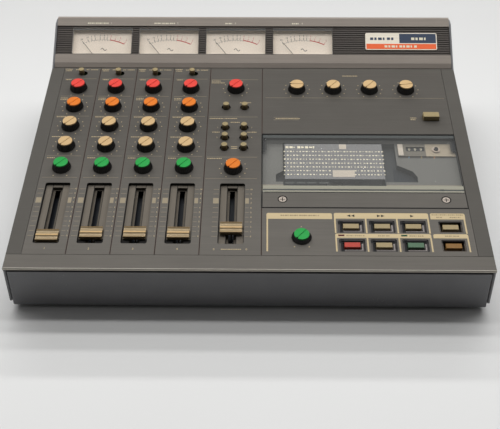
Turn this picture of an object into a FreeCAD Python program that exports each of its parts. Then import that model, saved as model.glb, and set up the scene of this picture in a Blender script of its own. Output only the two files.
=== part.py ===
"""Four track cassette recorder: mixer panel on the left, tape transport on the right, meter bridge behind.

Every length is in millimetres. The origin is on the surface that the recorder stands on, under the middle of
its bounding box; +X runs to the recorder's right, +Y to its back and +Z up.

Two sloping frames carry the controls. In the panel frame x runs across, l runs up the slope from the front
edge and h stands out of the panel. The bridge frame is the same for the steeper meter bridge behind it.
"""
import FreeCAD, Part
import math
import os

from FreeCAD import Placement, Rotation, Vector

# ---- overall form ----
JACK_REACH = 10.0
FOOT_HEIGHT = 5.0
FRONT_HEIGHT = 48.6
PANEL_SLOPE = 6.0
BRIDGE_SLOPE = 32.5
BRIDGE_RUN = 65.5
RIDGE_FLAT = 3.0
RIDGE_SETBACK = 1.31

# ---- sheet thicknesses and fits ----
PAN_SHEET = 1.5
PANEL_SHEET = 3.0
CHEEK_SHEET = 2.0
HOUSING_SHEET = 2.0
INSERT_SHEET = 1.5
SEAM = 0.4
RUNNING_GAP = 0.07
GUIDE_GAP = 0.4

# ---- front bar and case ----
BAR_RUN = 18.0
BAR_SHEET = 3.1
NOSE_RADIUS = 1.5
BAR_WEB_SETBACK = 6.0
BAR_WEB_SHEET = 2.0
BAR_WEB_DROP = 11.0
FRONT_FACE_SETBACK = 1.5
LIP_GAP = 5.5
CHEEK_LIFT = 4.8
CHEEK_FRONT_SETBACK = 1.8
CHEEK_RUN_ON_BRIDGE = 58.6
RAIL_WIDTH = 14.3
RAIL_SHEET = 2.0
LEDGE_REACH = 3.2
LEDGE_SHEET = 2.0
BEARING_REACH = 4.0
PAN_CORNER = 2.0
VENT_COUNT = 9
VENT_PITCH = 9.0
VENT_WIDTH = 3.0
VENT_LENGTH = 70.0
FOOT_RADIUS = 10.0
FOOT_INSET_X = 32.0
FOOT_INSET_Y = 30.0
CASE_SCREW_RADIUS = 3.4
CASE_SCREW_HEAD = 1.2
CASE_SCREW_SLOT = 0.9

# ---- mixer section ----
CHANNEL_COUNT = 4
CHANNEL_PITCH = 42.06
MIXER_MARGIN = 35.3
MASTER_GAP = 50.57
SECTION_GAP = 29.45
DIVIDER_WIDTH = 0.6
DIVIDER_DEPTH = 0.4
KNOB_MARGIN = 22.6
KNOB_ROW_PITCH = 32.3
KNOB_ROW_NAMES = ["pan", "bass", "treble", "aux", "trim"]
AUX_RETURN_DROP = 0.8
PANEL_MARGIN = 8.3
CUE_MARGIN = 38.5
CUE_PITCH = 40.5
CUE_DROP = 0.7
PITCH_KNOB_LIFT = 9.9

# ---- rotary knob and its control ----
SKIRT_RADIUS = 9.9
SKIRT_TOP_RADIUS = 7.9
SKIRT_HEIGHT = 6.7
PITCH_SKIRT_HEIGHT = 4.0
SKIRT_RIBS = 30
SKIRT_RIB_DEPTH = 0.45
SKIRT_CLEAR = 0.5
CAP_RADIUS = 7.4
CAP_HEIGHT = 1.4
CAP_EDGE = 0.35
CAP_SLOT_WIDTH = 0.7
CAP_SLOT_DEPTH = 0.4
CAP_NOTCH_WIDTH = 1.7
CAP_NOTCH_DEPTH = 1.5
SHAFT_RADIUS = 3.0
SHAFT_DEPTH = 11.0
BUSHING_RADIUS = 4.4
BUSHING_CLEAR = 1.0
POT_RADIUS = 8.2
POT_HEIGHT = 7.5
KNOB_ROOF = 1.5
POINTER_STOP = 230.0
CUE_POINTERS = [180.0, 230.0, 230.0, 190.0]

# ---- faders ----
FADER_WINDOW_WIDTH = 25.2
FADER_WINDOW_START = 32.5
FADER_WINDOW_LENGTH = 82.5
FADER_WINDOW_CORNER = 2.2
FADER_SLOT_WIDTH = 9.8
FADER_SLOT_START = 34.5
FADER_SLOT_END = 111.1
FADER_KNOB_WIDTH = 21.4
FADER_KNOB_LENGTH = 13.3
FADER_KNOB_HEIGHT = 2.0
FADER_KNOB_SINK = 2.7
FADER_RIDGE_WIDTH = 1.4
FADER_RIDGE_DROP = 0.2
FADER_DISH_DEPTH = 1.2
FADER_LIP_HEIGHT = 1.2
FADER_GROOVE_HEIGHT = 1.5
FADER_GROOVE_DEPTH = 1.0
FADER_STOP_L = 42.1
FADER_LIFTS = [0.0, 3.8, 4.3, 3.9]
MASTER_FADER_LIFT = 10.9
FADER_STEM_WIDTH = 1.4
FADER_STEM_LENGTH = 5.0
FADER_STEM_DEPTH = 12.0
SLIDE_POT_WIDTH = 11.0
SLIDE_POT_TOP = 6.2
SLIDE_POT_DEPTH = 8.5
SLIDE_POT_LENGTH = 86.0
SLIDE_POT_WALL = 0.8
SLIDE_POT_SLOT = 5.2
SLIDE_POT_SLOT_LENGTH = 71.0
SLIDE_POT_EAR = 4.0
INSERT_MARGIN = 4.0

# ---- small switches ----
INPUT_SWITCH_GAP = 27.0
INPUT_SWITCH_RADIUS = 3.1
INPUT_SWITCH_HEIGHT = 6.2
INPUT_SWITCH_CLEAR = 0.4
SWITCH_STEM_RADIUS = 2.1
SWITCH_STEM_REACH = 1.0
INPUT_SWITCH_TRAVEL = 3.0
SWITCH_HOLE_RADIUS = 3.6
SELECT_RADIUS = 3.2
SELECT_HEIGHT = 5.6
SELECT_HOLE_RADIUS = 4.9
SELECT_OFFSET = 10.1
SELECT_DROP = 1.5
SWITCH_BODY = 11.0
NR_MARGIN = 21.35
NR_GAP = 27.2
NR_WIDTH = 17.0
NR_LENGTH = 8.0
NR_HEIGHT = 5.4
NR_TRAVEL = 2.5

# ---- transport keys ----
KEY_WIDTH = 15.2
KEY_LENGTH = 6.2
KEY_RISE = 0.9
KEY_SINK = 8.0
KEY_FLANGE = 1.0
KEY_FLANGE_SHEET = 1.5
KEY_PLUNGER = 4.0
BEZEL_SINK = 0.5
KEY_WINDOW_WIDTH = 25.0
KEY_WINDOW_LENGTH = 16.0
KEY_WINDOW_CORNER = 1.2
KEY_STEP_SETS = [(1.9, 0.8), (3.3, 2.2)]
DEEP_WINDOW_WIDTH = 22.6
DEEP_WINDOW_LENGTH = 15.0
DEEP_FLOOR = 7.5
DEEP_WALL = 1.0
DEEP_SINK = 0.3
DEEP_MARGIN = 20.9
DEEP_GAP = 36.0
KEY_PITCH = 30.15
KEY_LOWER_L = 31.6
KEY_ROW_PITCH = 24.4
LED_WIDTH = 6.0
LED_LENGTH = 1.9
LED_RISE = 0.3
LED_LIFT = 12.8
LED_OFFSET = 10.0

# ---- cassette bay, lid and deck ----
BAY_GAP = 25.1
WELL_FRONT = 38.4
WELL_BACK = 6.0
LID_STRIP_LENGTH = 20.8
LID_SHEET = 2.6
LID_LIP = 4.7
LID_LIP_SHEET = 1.6
LID_BAR_INSET = 3.0
LID_BAR_LIFT = 4.9
LID_SCREW_RADIUS = 4.2
LID_SCREW_HEAD = 1.3
LID_SCREW_INSET = 20.4
LID_SCREW_LIFT = 11.9
CROSS_SHARE = 1.3
LID_SCREW_CROSS = 0.9
LID_SCREW_CROSS_DEPTH = 0.6
HEAD_SINK = 0.1
LID_PIN_RADIUS = 0.8
LID_PIN_LENGTH = 3.6
HINGE_ARM_WIDTH = 3.2
HINGE_ARM_LENGTH = 20.0
HINGE_ARM_DROP = 3.0
HINGE_NECK = 5.0
CATCH_MARGIN = 21.6
CATCH_LIFT = 29.4
CATCH_WIDTH = 3.2
CATCH_LENGTH = 5.0
CATCH_WALL = 0.8
CATCH_DROP = 1.4
DECK_DROP = 7.0
DECK_SHEET = 2.0
WELL_MARGIN = 22.0
WELL_WIDTH = 105.0
WELL_LENGTH = 65.0
WELL_DEPTH = 13.5
SHOULDER_WIDTH = 13.5
SIDE_BAY_DEPTH = 6.0
SIDE_BAY_INSET = 5.5
LEFT_BAY_REACH = 7.5
LEFT_BAY_LENGTH = 17.0
LEFT_BAY_SKEW = 6.0
RIGHT_BAY_REACH = 19.5
RIGHT_BAY_STEPS = [8.0, 16.0, 26.0]
RIGHT_BAY_SKEW = 4.0
REEL_SPACING = 42.5
REEL_RADIUS = 3.6
REEL_CORE_RADIUS = 2.6
REEL_HEIGHT = 9.0
REEL_FIN = 1.2
REEL_TABLE_RADIUS = 14.0
REEL_TABLE_SHEET = 4.5
HEAD_WIDTH = 14.0
HEAD_LENGTH = 7.0
HEAD_HEIGHT = 10.0
ERASE_WIDTH = 6.0
ERASE_LENGTH = 5.0
ERASE_OFFSET = 19.0
CAPSTAN_OFFSET = 27.0
CAPSTAN_RADIUS = 1.2
ROLLER_RADIUS = 4.4
ROLLER_HEIGHT = 8.5
FLYWHEEL_RADIUS = 22.0
FLYWHEEL_SHEET = 6.0
MOTOR_RADIUS = 13.0
MOTOR_LENGTH = 20.5
MOTOR_OFFSET = 12.0
MOTOR_SETBACK = 18.0
DRIVE_GAP = 6.0
DRIVE_SHEET = 1.5
DRIVE_POST_RADIUS = 3.0
COVER_OVERHANG = 10.0
COVER_GAP = 3.0
COVER_LENGTH = 8.0
COVER_SHEET = 1.6
COVER_RIB_COUNT = 10
COVER_RIB_PITCH = 10.5
COVER_RIB_WIDTH = 8.0
COVER_RIB_MARGIN = 3.0
COVER_RIB_EDGE = 2.0
COVER_RIB_DEPTH = 0.6
COUNTER_GAP = 16.1
COUNTER_MARGIN = 0.7
COUNTER_SETBACK = 27.7
COUNTER_WIDTH = 60.0
COUNTER_LENGTH = 19.0
COUNTER_RISE = 1.4
COUNTER_WINDOW_WIDTH = 19.3
COUNTER_WINDOW_LENGTH = 6.8
COUNTER_WINDOW_INSET = 8.9
COUNTER_WINDOW_LIFT = 7.6
COUNTER_WHEELS = 3
COUNTER_WHEEL_RADIUS = 5.6
COUNTER_WHEEL_MARGIN = 0.5
COUNTER_AXLE_RADIUS = 1.2
CRADLE_SHEET = 1.0
RESET_INSET = 40.3
RESET_LIFT = 9.7
RESET_STEM_RADIUS = 2.1
RESET_COLLAR_RADIUS = 4.4
RESET_COLLAR_HEIGHT = 1.0
RESET_FLANGE = 1.5
RESET_TRAVEL = 1.6

# ---- meter bridge ----
STEP_SETBACK = 2.9
STEP_TOP = 8.2
LOWER_STRIP_TOP = 18.7
UPPER_STRIP_START = 55.4
BAND_DEPTH = 2.2
RIB_PITCH = 2.8
RIB_WIDTH = 1.4
RIB_HEIGHT = 0.8
METER_COUNT = 4
METER_MARGIN = 55.3
METER_PITCH = 77.55
METER_WIDTH = 69.6
METER_LENGTH = 34.2
METER_L = 36.3
METER_PROUD = 1.5
METER_TRAY = 9.0
METER_WALL = 1.5
MOVEMENT_RADIUS = 13.0
MOVEMENT_DEPTH = 14.0
METER_LENS = 1.2
METER_DIAL_DEPTH = 5.0
METER_CARD = 0.5
METER_CORNER = 1.0
NEEDLE_PIVOT_DROP = 14.4
NEEDLE_OFFSET = 0.5
NEEDLE_REACH = 37.2
NEEDLE_ANGLE = 127.8
NEEDLE_WIDTH = 0.6
NEEDLE_LIFT = 1.6
NEEDLE_SHEET = 0.4
BADGE_WIDTH = 82.4
BADGE_LENGTH = 21.6
BADGE_MARGIN = 58.4
BADGE_L = 36.5
BADGE_THICKNESS = 1.6
BADGE_CORNER = 2.0

# ---- rear connectors ----
JACK_PLATE_HEIGHT = 26.0
JACK_PLATE_INSET = 30.0
JACK_PLATE_Z = 29.0
JACK_PLATE_SHEET = 2.0
JACK_BORE = 3.2
JACK_BUSHING = 4.6
JACK_NUT = 6.5
JACK_NUT_HEIGHT = 2.5
JACK_BUSHING_REACH = 5.0
JACK_BODY = 14.0
JACK_LENGTH = 30.0
JACK_MARGIN = 16.0
JACK_PITCH = 26.0
JACK_COUNT = 5
PHONO_GAP = 38.0
PHONO_MARGIN = 28.0
PHONO_PITCH = 18.0
PHONO_COUNT = 9
PHONO_RADIUS = 4.15
PHONO_BORE = 1.65
PHONO_LENGTH = 8.0
PHONO_SEAT = 6.0
PHONO_DEPTH = 4.0
PHONO_SEAT_DEPTH = 8.0
INLET_MARGIN = 55.0
INLET_WIDTH = 22.0
INLET_HEIGHT = 14.0
INLET_DEPTH = 16.0
INLET_WALL = 3.0
INLET_FLOOR = 4.0
INLET_PIN_RADIUS = 1.2
INLET_PIN_OFFSET = 4.0

# ---- inside ----
BOARD_SHEET = 1.6
POST_RADIUS = 4.0
BOARD_MARGIN = 15.0
BOARD_GAP = 4.0
POST_INSET = 8.0
KEY_BOARD_GAP = 4.0
KEY_SWITCH = 7.0
KEY_SWITCH_CLEAR = 2.4
TRANSFORMER_MARGIN = 62.0
TRANSFORMER_BACK_GAP = 18.0
TRANSFORMER_WIDTH = 58.0
TRANSFORMER_DEPTH = 40.0
TRANSFORMER_HEIGHT = 46.0
CORE_DEPTH = 24.0
CORE_LIMB = 9.3
CORE_YOKE = 8.0
COIL_WIDTH = 38.3
COIL_CLEAR = 1.0
SUPPLY_BOARD_GAP = 11.0
SUPPLY_BOARD_WIDTH = 70.0
SUPPLY_BOARD_LENGTH = 36.0
SUPPLY_BOARD_LIFT = 5.0
CAN_COUNT = 3
CAN_RADIUS = 8.0
CAN_PITCH = 20.0
CAN_HEIGHT = 29.4
LEG_RADIUS = 3.0
LEG_INSET = 5.0

# ---- places worked out from the sizes above: across ----
TAPE_WIDTH = WELL_MARGIN + WELL_WIDTH + COUNTER_GAP + COUNTER_WIDTH + COUNTER_MARGIN
MIXER_WIDTH = MIXER_MARGIN + (CHANNEL_COUNT - 1) * CHANNEL_PITCH + MASTER_GAP + SECTION_GAP
WIDTH = MIXER_WIDTH + TAPE_WIDTH + SEAM + RAIL_WIDTH
CHANNEL_XS = [MIXER_MARGIN - WIDTH / 2 + CHANNEL_PITCH * i for i in range(CHANNEL_COUNT)]
CHANNEL_NAMES = ["a", "b", "c", "d"]
MASTER_X = CHANNEL_XS[-1] + MASTER_GAP
SECTION_X = MASTER_X + SECTION_GAP
CHEEK_INNER_X = WIDTH / 2 - CHEEK_SHEET
PAN_HALF_WIDTH = CHEEK_INNER_X - SEAM / 2
RAIL_INNER_X = WIDTH / 2 - RAIL_WIDTH
PANEL_EDGE_X = RAIL_INNER_X - SEAM
CUE_XS = [SECTION_X + CUE_MARGIN + CUE_PITCH * i for i in range(CHANNEL_COUNT)]
PITCH_KNOB_X = CUE_XS[0]
NR_X = PANEL_EDGE_X - NR_MARGIN
DEEP_COLUMN = PANEL_EDGE_X - DEEP_MARGIN
KEY_COLUMNS = [DEEP_COLUMN - DEEP_GAP - KEY_PITCH * i for i in (2, 1, 0)]
LED_COLUMNS = [KEY_COLUMNS[0] - LED_OFFSET, KEY_COLUMNS[-1] - LED_OFFSET]
BAY_LEFT = SECTION_X
LID_LEFT = BAY_LEFT + SEAM
LID_RIGHT = PANEL_EDGE_X
CATCH_X = PANEL_EDGE_X - CATCH_MARGIN
WELL_START_X = SECTION_X + WELL_MARGIN
WELL_END_X = WELL_START_X + WELL_WIDTH
WELL_MIDDLE_X = WELL_START_X + WELL_WIDTH / 2
REEL_XS = [WELL_MIDDLE_X - REEL_SPACING / 2, WELL_MIDDLE_X + REEL_SPACING / 2]
CAPSTAN_X = WELL_MIDDLE_X + CAPSTAN_OFFSET
COUNTER_X = PANEL_EDGE_X - COUNTER_MARGIN - COUNTER_WIDTH
COUNTER_WINDOW_X = COUNTER_X + COUNTER_WINDOW_INSET
RESET_X = COUNTER_X + RESET_INSET
METER_XS = [METER_MARGIN - WIDTH / 2 + METER_PITCH * i for i in range(METER_COUNT)]
BADGE_X = WIDTH / 2 - BADGE_MARGIN
JACK_PLATE_START_X = JACK_PLATE_INSET - WIDTH / 2
JACK_XS = [JACK_PLATE_START_X + JACK_MARGIN + JACK_PITCH * i for i in range(JACK_COUNT)]
PHONO_XS = [JACK_XS[-1] + PHONO_GAP + PHONO_PITCH * i for i in range(PHONO_COUNT)]
JACK_PLATE_END_X = PHONO_XS[-1] + PHONO_MARGIN
INLET_X = WIDTH / 2 - INLET_MARGIN
TRANSFORMER_X = WIDTH / 2 - TRANSFORMER_MARGIN

# ---- up the slope ----
KEY_UPPER_L = KEY_LOWER_L + KEY_ROW_PITCH
LED_L = KEY_LOWER_L + LED_LIFT
PITCH_KNOB_L = KEY_LOWER_L + PITCH_KNOB_LIFT
BAY_START = KEY_UPPER_L + BAY_GAP
WELL_START_L = BAY_START + WELL_FRONT
WELL_END_L = WELL_START_L + WELL_LENGTH
BAY_END = WELL_END_L + WELL_BACK
REEL_L = WELL_START_L + WELL_LENGTH / 2
CAPSTAN_L = WELL_START_L + 2 * ROLLER_RADIUS + CAPSTAN_RADIUS + SEAM
COUNTER_L = BAY_END - COUNTER_SETBACK
COUNTER_WINDOW_L = COUNTER_L + COUNTER_WINDOW_LIFT
RESET_L = COUNTER_L + RESET_LIFT
LID_START = BAY_START + SEAM
LID_STRIP_END = LID_START + LID_STRIP_LENGTH
LID_SCREW_L = BAY_START + LID_SCREW_LIFT
CATCH_L = BAY_START + CATCH_LIFT
LID_PIVOT_L = BAY_END - SEAM - LID_SHEET / 2
LID_PIVOT_H = -LID_SHEET / 2
NR_L = BAY_END + NR_GAP
KNOB_FIRST_L = FADER_WINDOW_START + FADER_WINDOW_LENGTH + KNOB_MARGIN
KNOB_ROWS = {name: KNOB_FIRST_L + KNOB_ROW_PITCH * i for i, name in enumerate(KNOB_ROW_NAMES)}
AUX_RETURN_L = KNOB_ROWS["pan"] - AUX_RETURN_DROP
CUE_L = KNOB_ROWS["trim"] - CUE_DROP
SELECT_UPPER_L = KNOB_ROWS["treble"] - SELECT_DROP
SELECT_LOWER_L = KNOB_ROWS["bass"] - SELECT_DROP
SELECT_ROWS = [KNOB_ROWS["aux"], SELECT_UPPER_L, (SELECT_UPPER_L + SELECT_LOWER_L) / 2, SELECT_LOWER_L]
INPUT_SWITCH_L = KNOB_ROWS["trim"] + INPUT_SWITCH_GAP
PANEL_RUN = INPUT_SWITCH_L + PANEL_MARGIN
STEP_START_L = PANEL_RUN + STEP_SETBACK
PANEL_START = BAR_RUN + SEAM
PANEL_END = STEP_START_L - 2 * SEAM

# ---- depth and height ----
PANEL_DEPTH = PANEL_RUN * math.cos(math.radians(PANEL_SLOPE))
BRIDGE_DEPTH = BRIDGE_RUN * math.cos(math.radians(BRIDGE_SLOPE))
BODY_DEPTH = PANEL_DEPTH + BRIDGE_DEPTH + RIDGE_FLAT + RIDGE_SETBACK
FRONT_Y = -(BODY_DEPTH + JACK_REACH) / 2
BACK_Y = FRONT_Y + BODY_DEPTH
FRONT_Z = FOOT_HEIGHT + FRONT_HEIGHT
PAN_RIM_Z = FRONT_Z - LIP_GAP
PAN_FLOOR_Z = FOOT_HEIGHT + PAN_SHEET
WELL_FLOOR_H = -DECK_DROP - WELL_DEPTH
SIDE_BAY_FLOOR_H = -DECK_DROP - SIDE_BAY_DEPTH
METER_FACE_H = METER_PROUD - BAND_DEPTH


# ---------------------------------------------------------------- frames and basic shapes

def panel_point(l, h):
    """World (y, z) of a point on the control panel's frame."""
    a = math.radians(PANEL_SLOPE)
    return (FRONT_Y + l * math.cos(a) - h * math.sin(a), FRONT_Z + l * math.sin(a) + h * math.cos(a))


def bridge_point(l, h):
    """World (y, z) of a point on the meter bridge's frame, which starts at the end of the panel run."""
    a = math.radians(BRIDGE_SLOPE)
    y, z = panel_point(PANEL_RUN, 0.0)
    return (y + l * math.cos(a) - h * math.sin(a), z + l * math.sin(a) + h * math.cos(a))


def on_panel(shape):
    """Put a shape drawn in (x, l, h) onto the control panel."""
    placed = shape.copy()
    slope = Placement(Vector(0, FRONT_Y, FRONT_Z), Rotation(Vector(1, 0, 0), PANEL_SLOPE))
    placed.Placement = slope.multiply(placed.Placement)
    return placed


def on_bridge(shape):
    """Put a shape drawn in (x, l, h) onto the meter bridge."""
    y, z = panel_point(PANEL_RUN, 0.0)
    placed = shape.copy()
    slope = Placement(Vector(0, y, z), Rotation(Vector(1, 0, 0), BRIDGE_SLOPE))
    placed.Placement = slope.multiply(placed.Placement)
    return placed


def block(x0, x1, y0, y1, z0, z1):
    """A plain box between two corners."""
    return Part.makeBox(x1 - x0, y1 - y0, z1 - z0, Vector(x0, y0, z0))


def centred_block(x, y, width, length, z0, z1):
    """A box centred on (x, y) that stands from z0 to z1."""
    return block(x - width / 2, x + width / 2, y - length / 2, y + length / 2, z0, z1)


def soft_block(x, y, width, length, z0, z1, radius):
    """A centred box whose upright edges are rounded."""
    body = centred_block(x, y, width, length, z0, z1)
    upright = [e for e in body.Edges if abs(e.tangentAt(e.FirstParameter).z) > 0.99]
    return body.makeFillet(radius, upright)


def rod(x, y, z0, z1, radius):
    """An upright cylinder."""
    return Part.makeCylinder(radius, z1 - z0, Vector(x, y, z0), Vector(0, 0, 1))


def cross_rod(x0, x1, y, z, radius):
    """A cylinder that lies along x."""
    return Part.makeCylinder(radius, x1 - x0, Vector(x0, y, z), Vector(1, 0, 0))


def back_rod(x, z, y0, y1, radius):
    """A cylinder that lies along y."""
    return Part.makeCylinder(radius, y1 - y0, Vector(x, y0, z), Vector(0, 1, 0))


def extrude_x(points, x0, x1):
    """A prism along x whose section is the closed outline of (y, z) points."""
    corners = [Vector(x0, y, z) for y, z in points]
    face = Part.Face(Part.makePolygon(corners + [corners[0]]))
    return face.extrude(Vector(x1 - x0, 0, 0))


def sheet_outline(points, thickness):
    """Closed outline of a bent sheet: an open line of (y, z) points and its mitred offset to the right."""
    normals = []
    for (y0, z0), (y1, z1) in zip(points, points[1:]):
        length = math.hypot(y1 - y0, z1 - z0)
        normals.append(((z1 - z0) / length, -(y1 - y0) / length))
    inner = []
    for i, (y, z) in enumerate(points):
        before = normals[max(i - 1, 0)]
        after = normals[min(i, len(normals) - 1)]
        scale = thickness / (1 + before[0] * after[0] + before[1] * after[1])
        inner.append((y + (before[0] + after[0]) * scale, z + (before[1] + after[1]) * scale))
    return points + inner[::-1]


def fuse(shapes):
    """One solid out of touching or overlapping shapes."""
    return shapes[0].multiFuse(shapes[1:]).removeSplitter()


def cut(body, tools):
    """The body without the tools."""
    return body.cut(tools) if tools else body


def above_floor(shape):
    """The part of a shape that stands above the pan's floor."""
    reach = WIDTH
    return shape.common(block(-reach, reach, -reach, reach, PAN_FLOOR_Z, reach))


def export(name, shapes):
    """Write one node: a single solid, or a compound of separate ones."""
    whole = shapes[0] if len(shapes) == 1 else Part.makeCompound(shapes)
    whole.exportStep("parts/" + name + ".step")


# ---------------------------------------------------------------- case

def base_pan():
    """Steel tray: floor, front face, sides and back, with vents and a window for the jack plate."""
    front = FRONT_Y + FRONT_FACE_SETBACK
    depth = BACK_Y - front
    inner_x = PAN_HALF_WIDTH - PAN_SHEET
    outer = soft_block(0, front + depth / 2, 2 * PAN_HALF_WIDTH, depth, FOOT_HEIGHT, PAN_RIM_Z, PAN_CORNER)
    inner = block(-inner_x, inner_x, front + PAN_SHEET, BACK_Y - PAN_SHEET, PAN_FLOOR_Z, PAN_RIM_Z)
    wall_y = (BACK_Y - 2 * PAN_SHEET, BACK_Y + PAN_SHEET)
    window = block(JACK_PLATE_START_X, JACK_PLATE_END_X, *wall_y,
                   JACK_PLATE_Z - JACK_PLATE_HEIGHT / 2, JACK_PLATE_Z + JACK_PLATE_HEIGHT / 2)
    inlet = block(INLET_X - INLET_WIDTH / 2, INLET_X + INLET_WIDTH / 2, *wall_y,
                  JACK_PLATE_Z - INLET_HEIGHT / 2, JACK_PLATE_Z + INLET_HEIGHT / 2)
    vents = []
    for i in range(VENT_COUNT):
        x = TRANSFORMER_X + (i - (VENT_COUNT - 1) / 2) * VENT_PITCH
        vents.append(centred_block(x, 0, VENT_WIDTH, VENT_LENGTH, 0, PAN_FLOOR_Z + PAN_SHEET))
    return cut(outer, [inner, window, inlet] + vents)


def feet():
    """Four rubber feet under the pan."""
    x = WIDTH / 2 - FOOT_INSET_X
    places = [(sx * x, y) for sx in (-1, 1) for y in (FRONT_Y + FOOT_INSET_Y, BACK_Y - FOOT_INSET_Y)]
    return [Part.makeCone(FOOT_RADIUS - 1, FOOT_RADIUS, FOOT_HEIGHT, Vector(px, py, 0)) for px, py in places]


def front_bar():
    """Metal bar across the front edge: a round nose over a shadow gap, with a web behind the front face."""
    nose = -NOSE_RADIUS * math.tan(math.radians(PANEL_SLOPE))
    plate = block(-WIDTH / 2, WIDTH / 2, nose, BAR_RUN, -BAR_SHEET, 0)
    front = [e for e in plate.Edges
             if e.BoundBox.YMax < nose + NOSE_RADIUS / 2 and e.BoundBox.XLength > WIDTH / 2]
    plate = plate.makeFillet(NOSE_RADIUS, front)
    web = block(-PAN_HALF_WIDTH + 2 * PAN_SHEET, PAN_HALF_WIDTH - 2 * PAN_SHEET, BAR_WEB_SETBACK,
                BAR_WEB_SETBACK + BAR_WEB_SHEET, -BAR_SHEET - BAR_WEB_DROP, -BAR_SHEET)
    return on_panel(fuse([plate, web]))


def cheek(side):
    """One side plate with the rail beside the panel and the ledge that the panel rests on."""
    bottom = FOOT_HEIGHT + CHEEK_LIFT
    front = FRONT_Y + CHEEK_FRONT_SETBACK
    under_bar = -BAR_SHEET - SEAM / 2
    top_y, top_z = bridge_point(CHEEK_RUN_ON_BRIDGE, 0)
    lip_z = panel_point(CHEEK_FRONT_SETBACK, under_bar)[1]
    outline = [(front, bottom), (front, lip_z), panel_point(PANEL_START, under_bar),
               panel_point(PANEL_START, 0), panel_point(PANEL_RUN, 0), (top_y, top_z), (BACK_Y, top_z),
               (BACK_Y, bottom)]
    plate = extrude_x(outline, CHEEK_INNER_X, WIDTH / 2)
    rail = block(RAIL_INNER_X, CHEEK_INNER_X, PANEL_START, PANEL_END, -RAIL_SHEET, 0)
    ledge_top = -PANEL_SHEET
    ledge_low = ledge_top - LEDGE_SHEET
    web = block(RAIL_INNER_X, RAIL_INNER_X + RAIL_SHEET, PANEL_START, PANEL_END, ledge_low, -RAIL_SHEET)
    ledge_runs = ((PANEL_START, BAY_START - 2 * PAN_SHEET), (BAY_END + 2 * PAN_SHEET, PANEL_END))
    ledges = [block(RAIL_INNER_X - LEDGE_REACH, RAIL_INNER_X, start, end, ledge_low, ledge_top)
              for start, end in ledge_runs]
    bearing_end = RAIL_INNER_X + LID_PIN_LENGTH + RAIL_SHEET
    bearing = block(RAIL_INNER_X, bearing_end, LID_PIVOT_L - BEARING_REACH, LID_PIVOT_L + BEARING_REACH,
                    ledge_low, -RAIL_SHEET)
    inside = fuse([on_panel(s) for s in [rail, web, bearing] + ledges])
    recesses = [cross_rod(WIDTH / 2 - CASE_SCREW_HEAD, WIDTH / 2 + 1, y, z, CASE_SCREW_RADIUS + SEAM / 2)
                for y, z in case_screw_places()]
    body = cut(fuse([plate, inside]), recesses)
    if side < 0:
        return body.mirror(Vector(0, 0, 0), Vector(1, 0, 0))
    pin_end = LID_RIGHT + LID_PIN_LENGTH
    pin_hole = cross_rod(RAIL_INNER_X - LEDGE_REACH, pin_end, LID_PIVOT_L, LID_PIVOT_H,
                         LID_PIN_RADIUS + RUNNING_GAP)
    return cut(body, [on_panel(pin_hole)])


def case_screw_places():
    """World (y, z) of the screws along the foot of each side plate."""
    z = FOOT_HEIGHT + CHEEK_LIFT + 3 * CASE_SCREW_RADIUS
    return [(y, z) for y in (FRONT_Y + FOOT_INSET_Y, (FRONT_Y + BACK_Y) / 2, BACK_Y - FOOT_INSET_Y)]


def case_screws():
    """Flush slotted screws that hold the side plates to the pan."""
    screws = []
    for side in (-1, 1):
        face = WIDTH / 2 - HEAD_SINK
        for y, z in case_screw_places():
            head = cross_rod(WIDTH / 2 - CASE_SCREW_HEAD, face, y, z, CASE_SCREW_RADIUS)
            slot = block(face - CASE_SCREW_HEAD / 2, face + 1, y - CASE_SCREW_RADIUS, y + CASE_SCREW_RADIUS,
                         z - CASE_SCREW_SLOT / 2, z + CASE_SCREW_SLOT / 2)
            screw = cut(head, [slot])
            screws.append(screw if side > 0 else screw.mirror(Vector(0, 0, 0), Vector(1, 0, 0)))
    return screws


# ---------------------------------------------------------------- control panel

def fader_xs():
    """Middle of each fader: four channels and the master."""
    return CHANNEL_XS + [MASTER_X]


def knob_places():
    """Node name, x, l and resting pointer angle of every rotary knob."""
    places = []
    for name, l in KNOB_ROWS.items():
        for channel, x in zip(CHANNEL_NAMES, CHANNEL_XS):
            places.append(("knob_" + name + "_" + channel, x, l, POINTER_STOP))
    for i, (x, angle) in enumerate(zip(CUE_XS, CUE_POINTERS)):
        places.append(("knob_cue_" + str(i + 1), x, CUE_L, angle))
    places.append(("knob_monitor", MASTER_X, KNOB_ROWS["trim"], POINTER_STOP))
    places.append(("knob_aux_return", MASTER_X, AUX_RETURN_L, POINTER_STOP))
    places.append(("knob_pitch", PITCH_KNOB_X, PITCH_KNOB_L, POINTER_STOP))
    return places


def select_places():
    """Middle of each small round push button in the master section."""
    return [(MASTER_X + side * SELECT_OFFSET, l) for l in SELECT_ROWS for side in (-1, 1)]


def key_places():
    """Node name, x, l and whether the key sits in a deep black well."""
    upper = ["key_rewind", "key_fast_forward", "key_play"]
    lower = ["key_record", "key_stop", "key_pause"]
    places = [(name, x, KEY_UPPER_L, False) for name, x in zip(upper, KEY_COLUMNS)]
    places += [(name, x, KEY_LOWER_L, False) for name, x in zip(lower, KEY_COLUMNS)]
    places.append(("key_zero_return", DEEP_COLUMN, KEY_UPPER_L, True))
    places.append(("key_eject", DEEP_COLUMN, KEY_LOWER_L, True))
    return places


def through(x, l, width, length, corner):
    """A rounded window right through the panel sheet."""
    return soft_block(x, l, width, length, -2 * PANEL_SHEET, PANEL_SHEET, corner)


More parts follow.
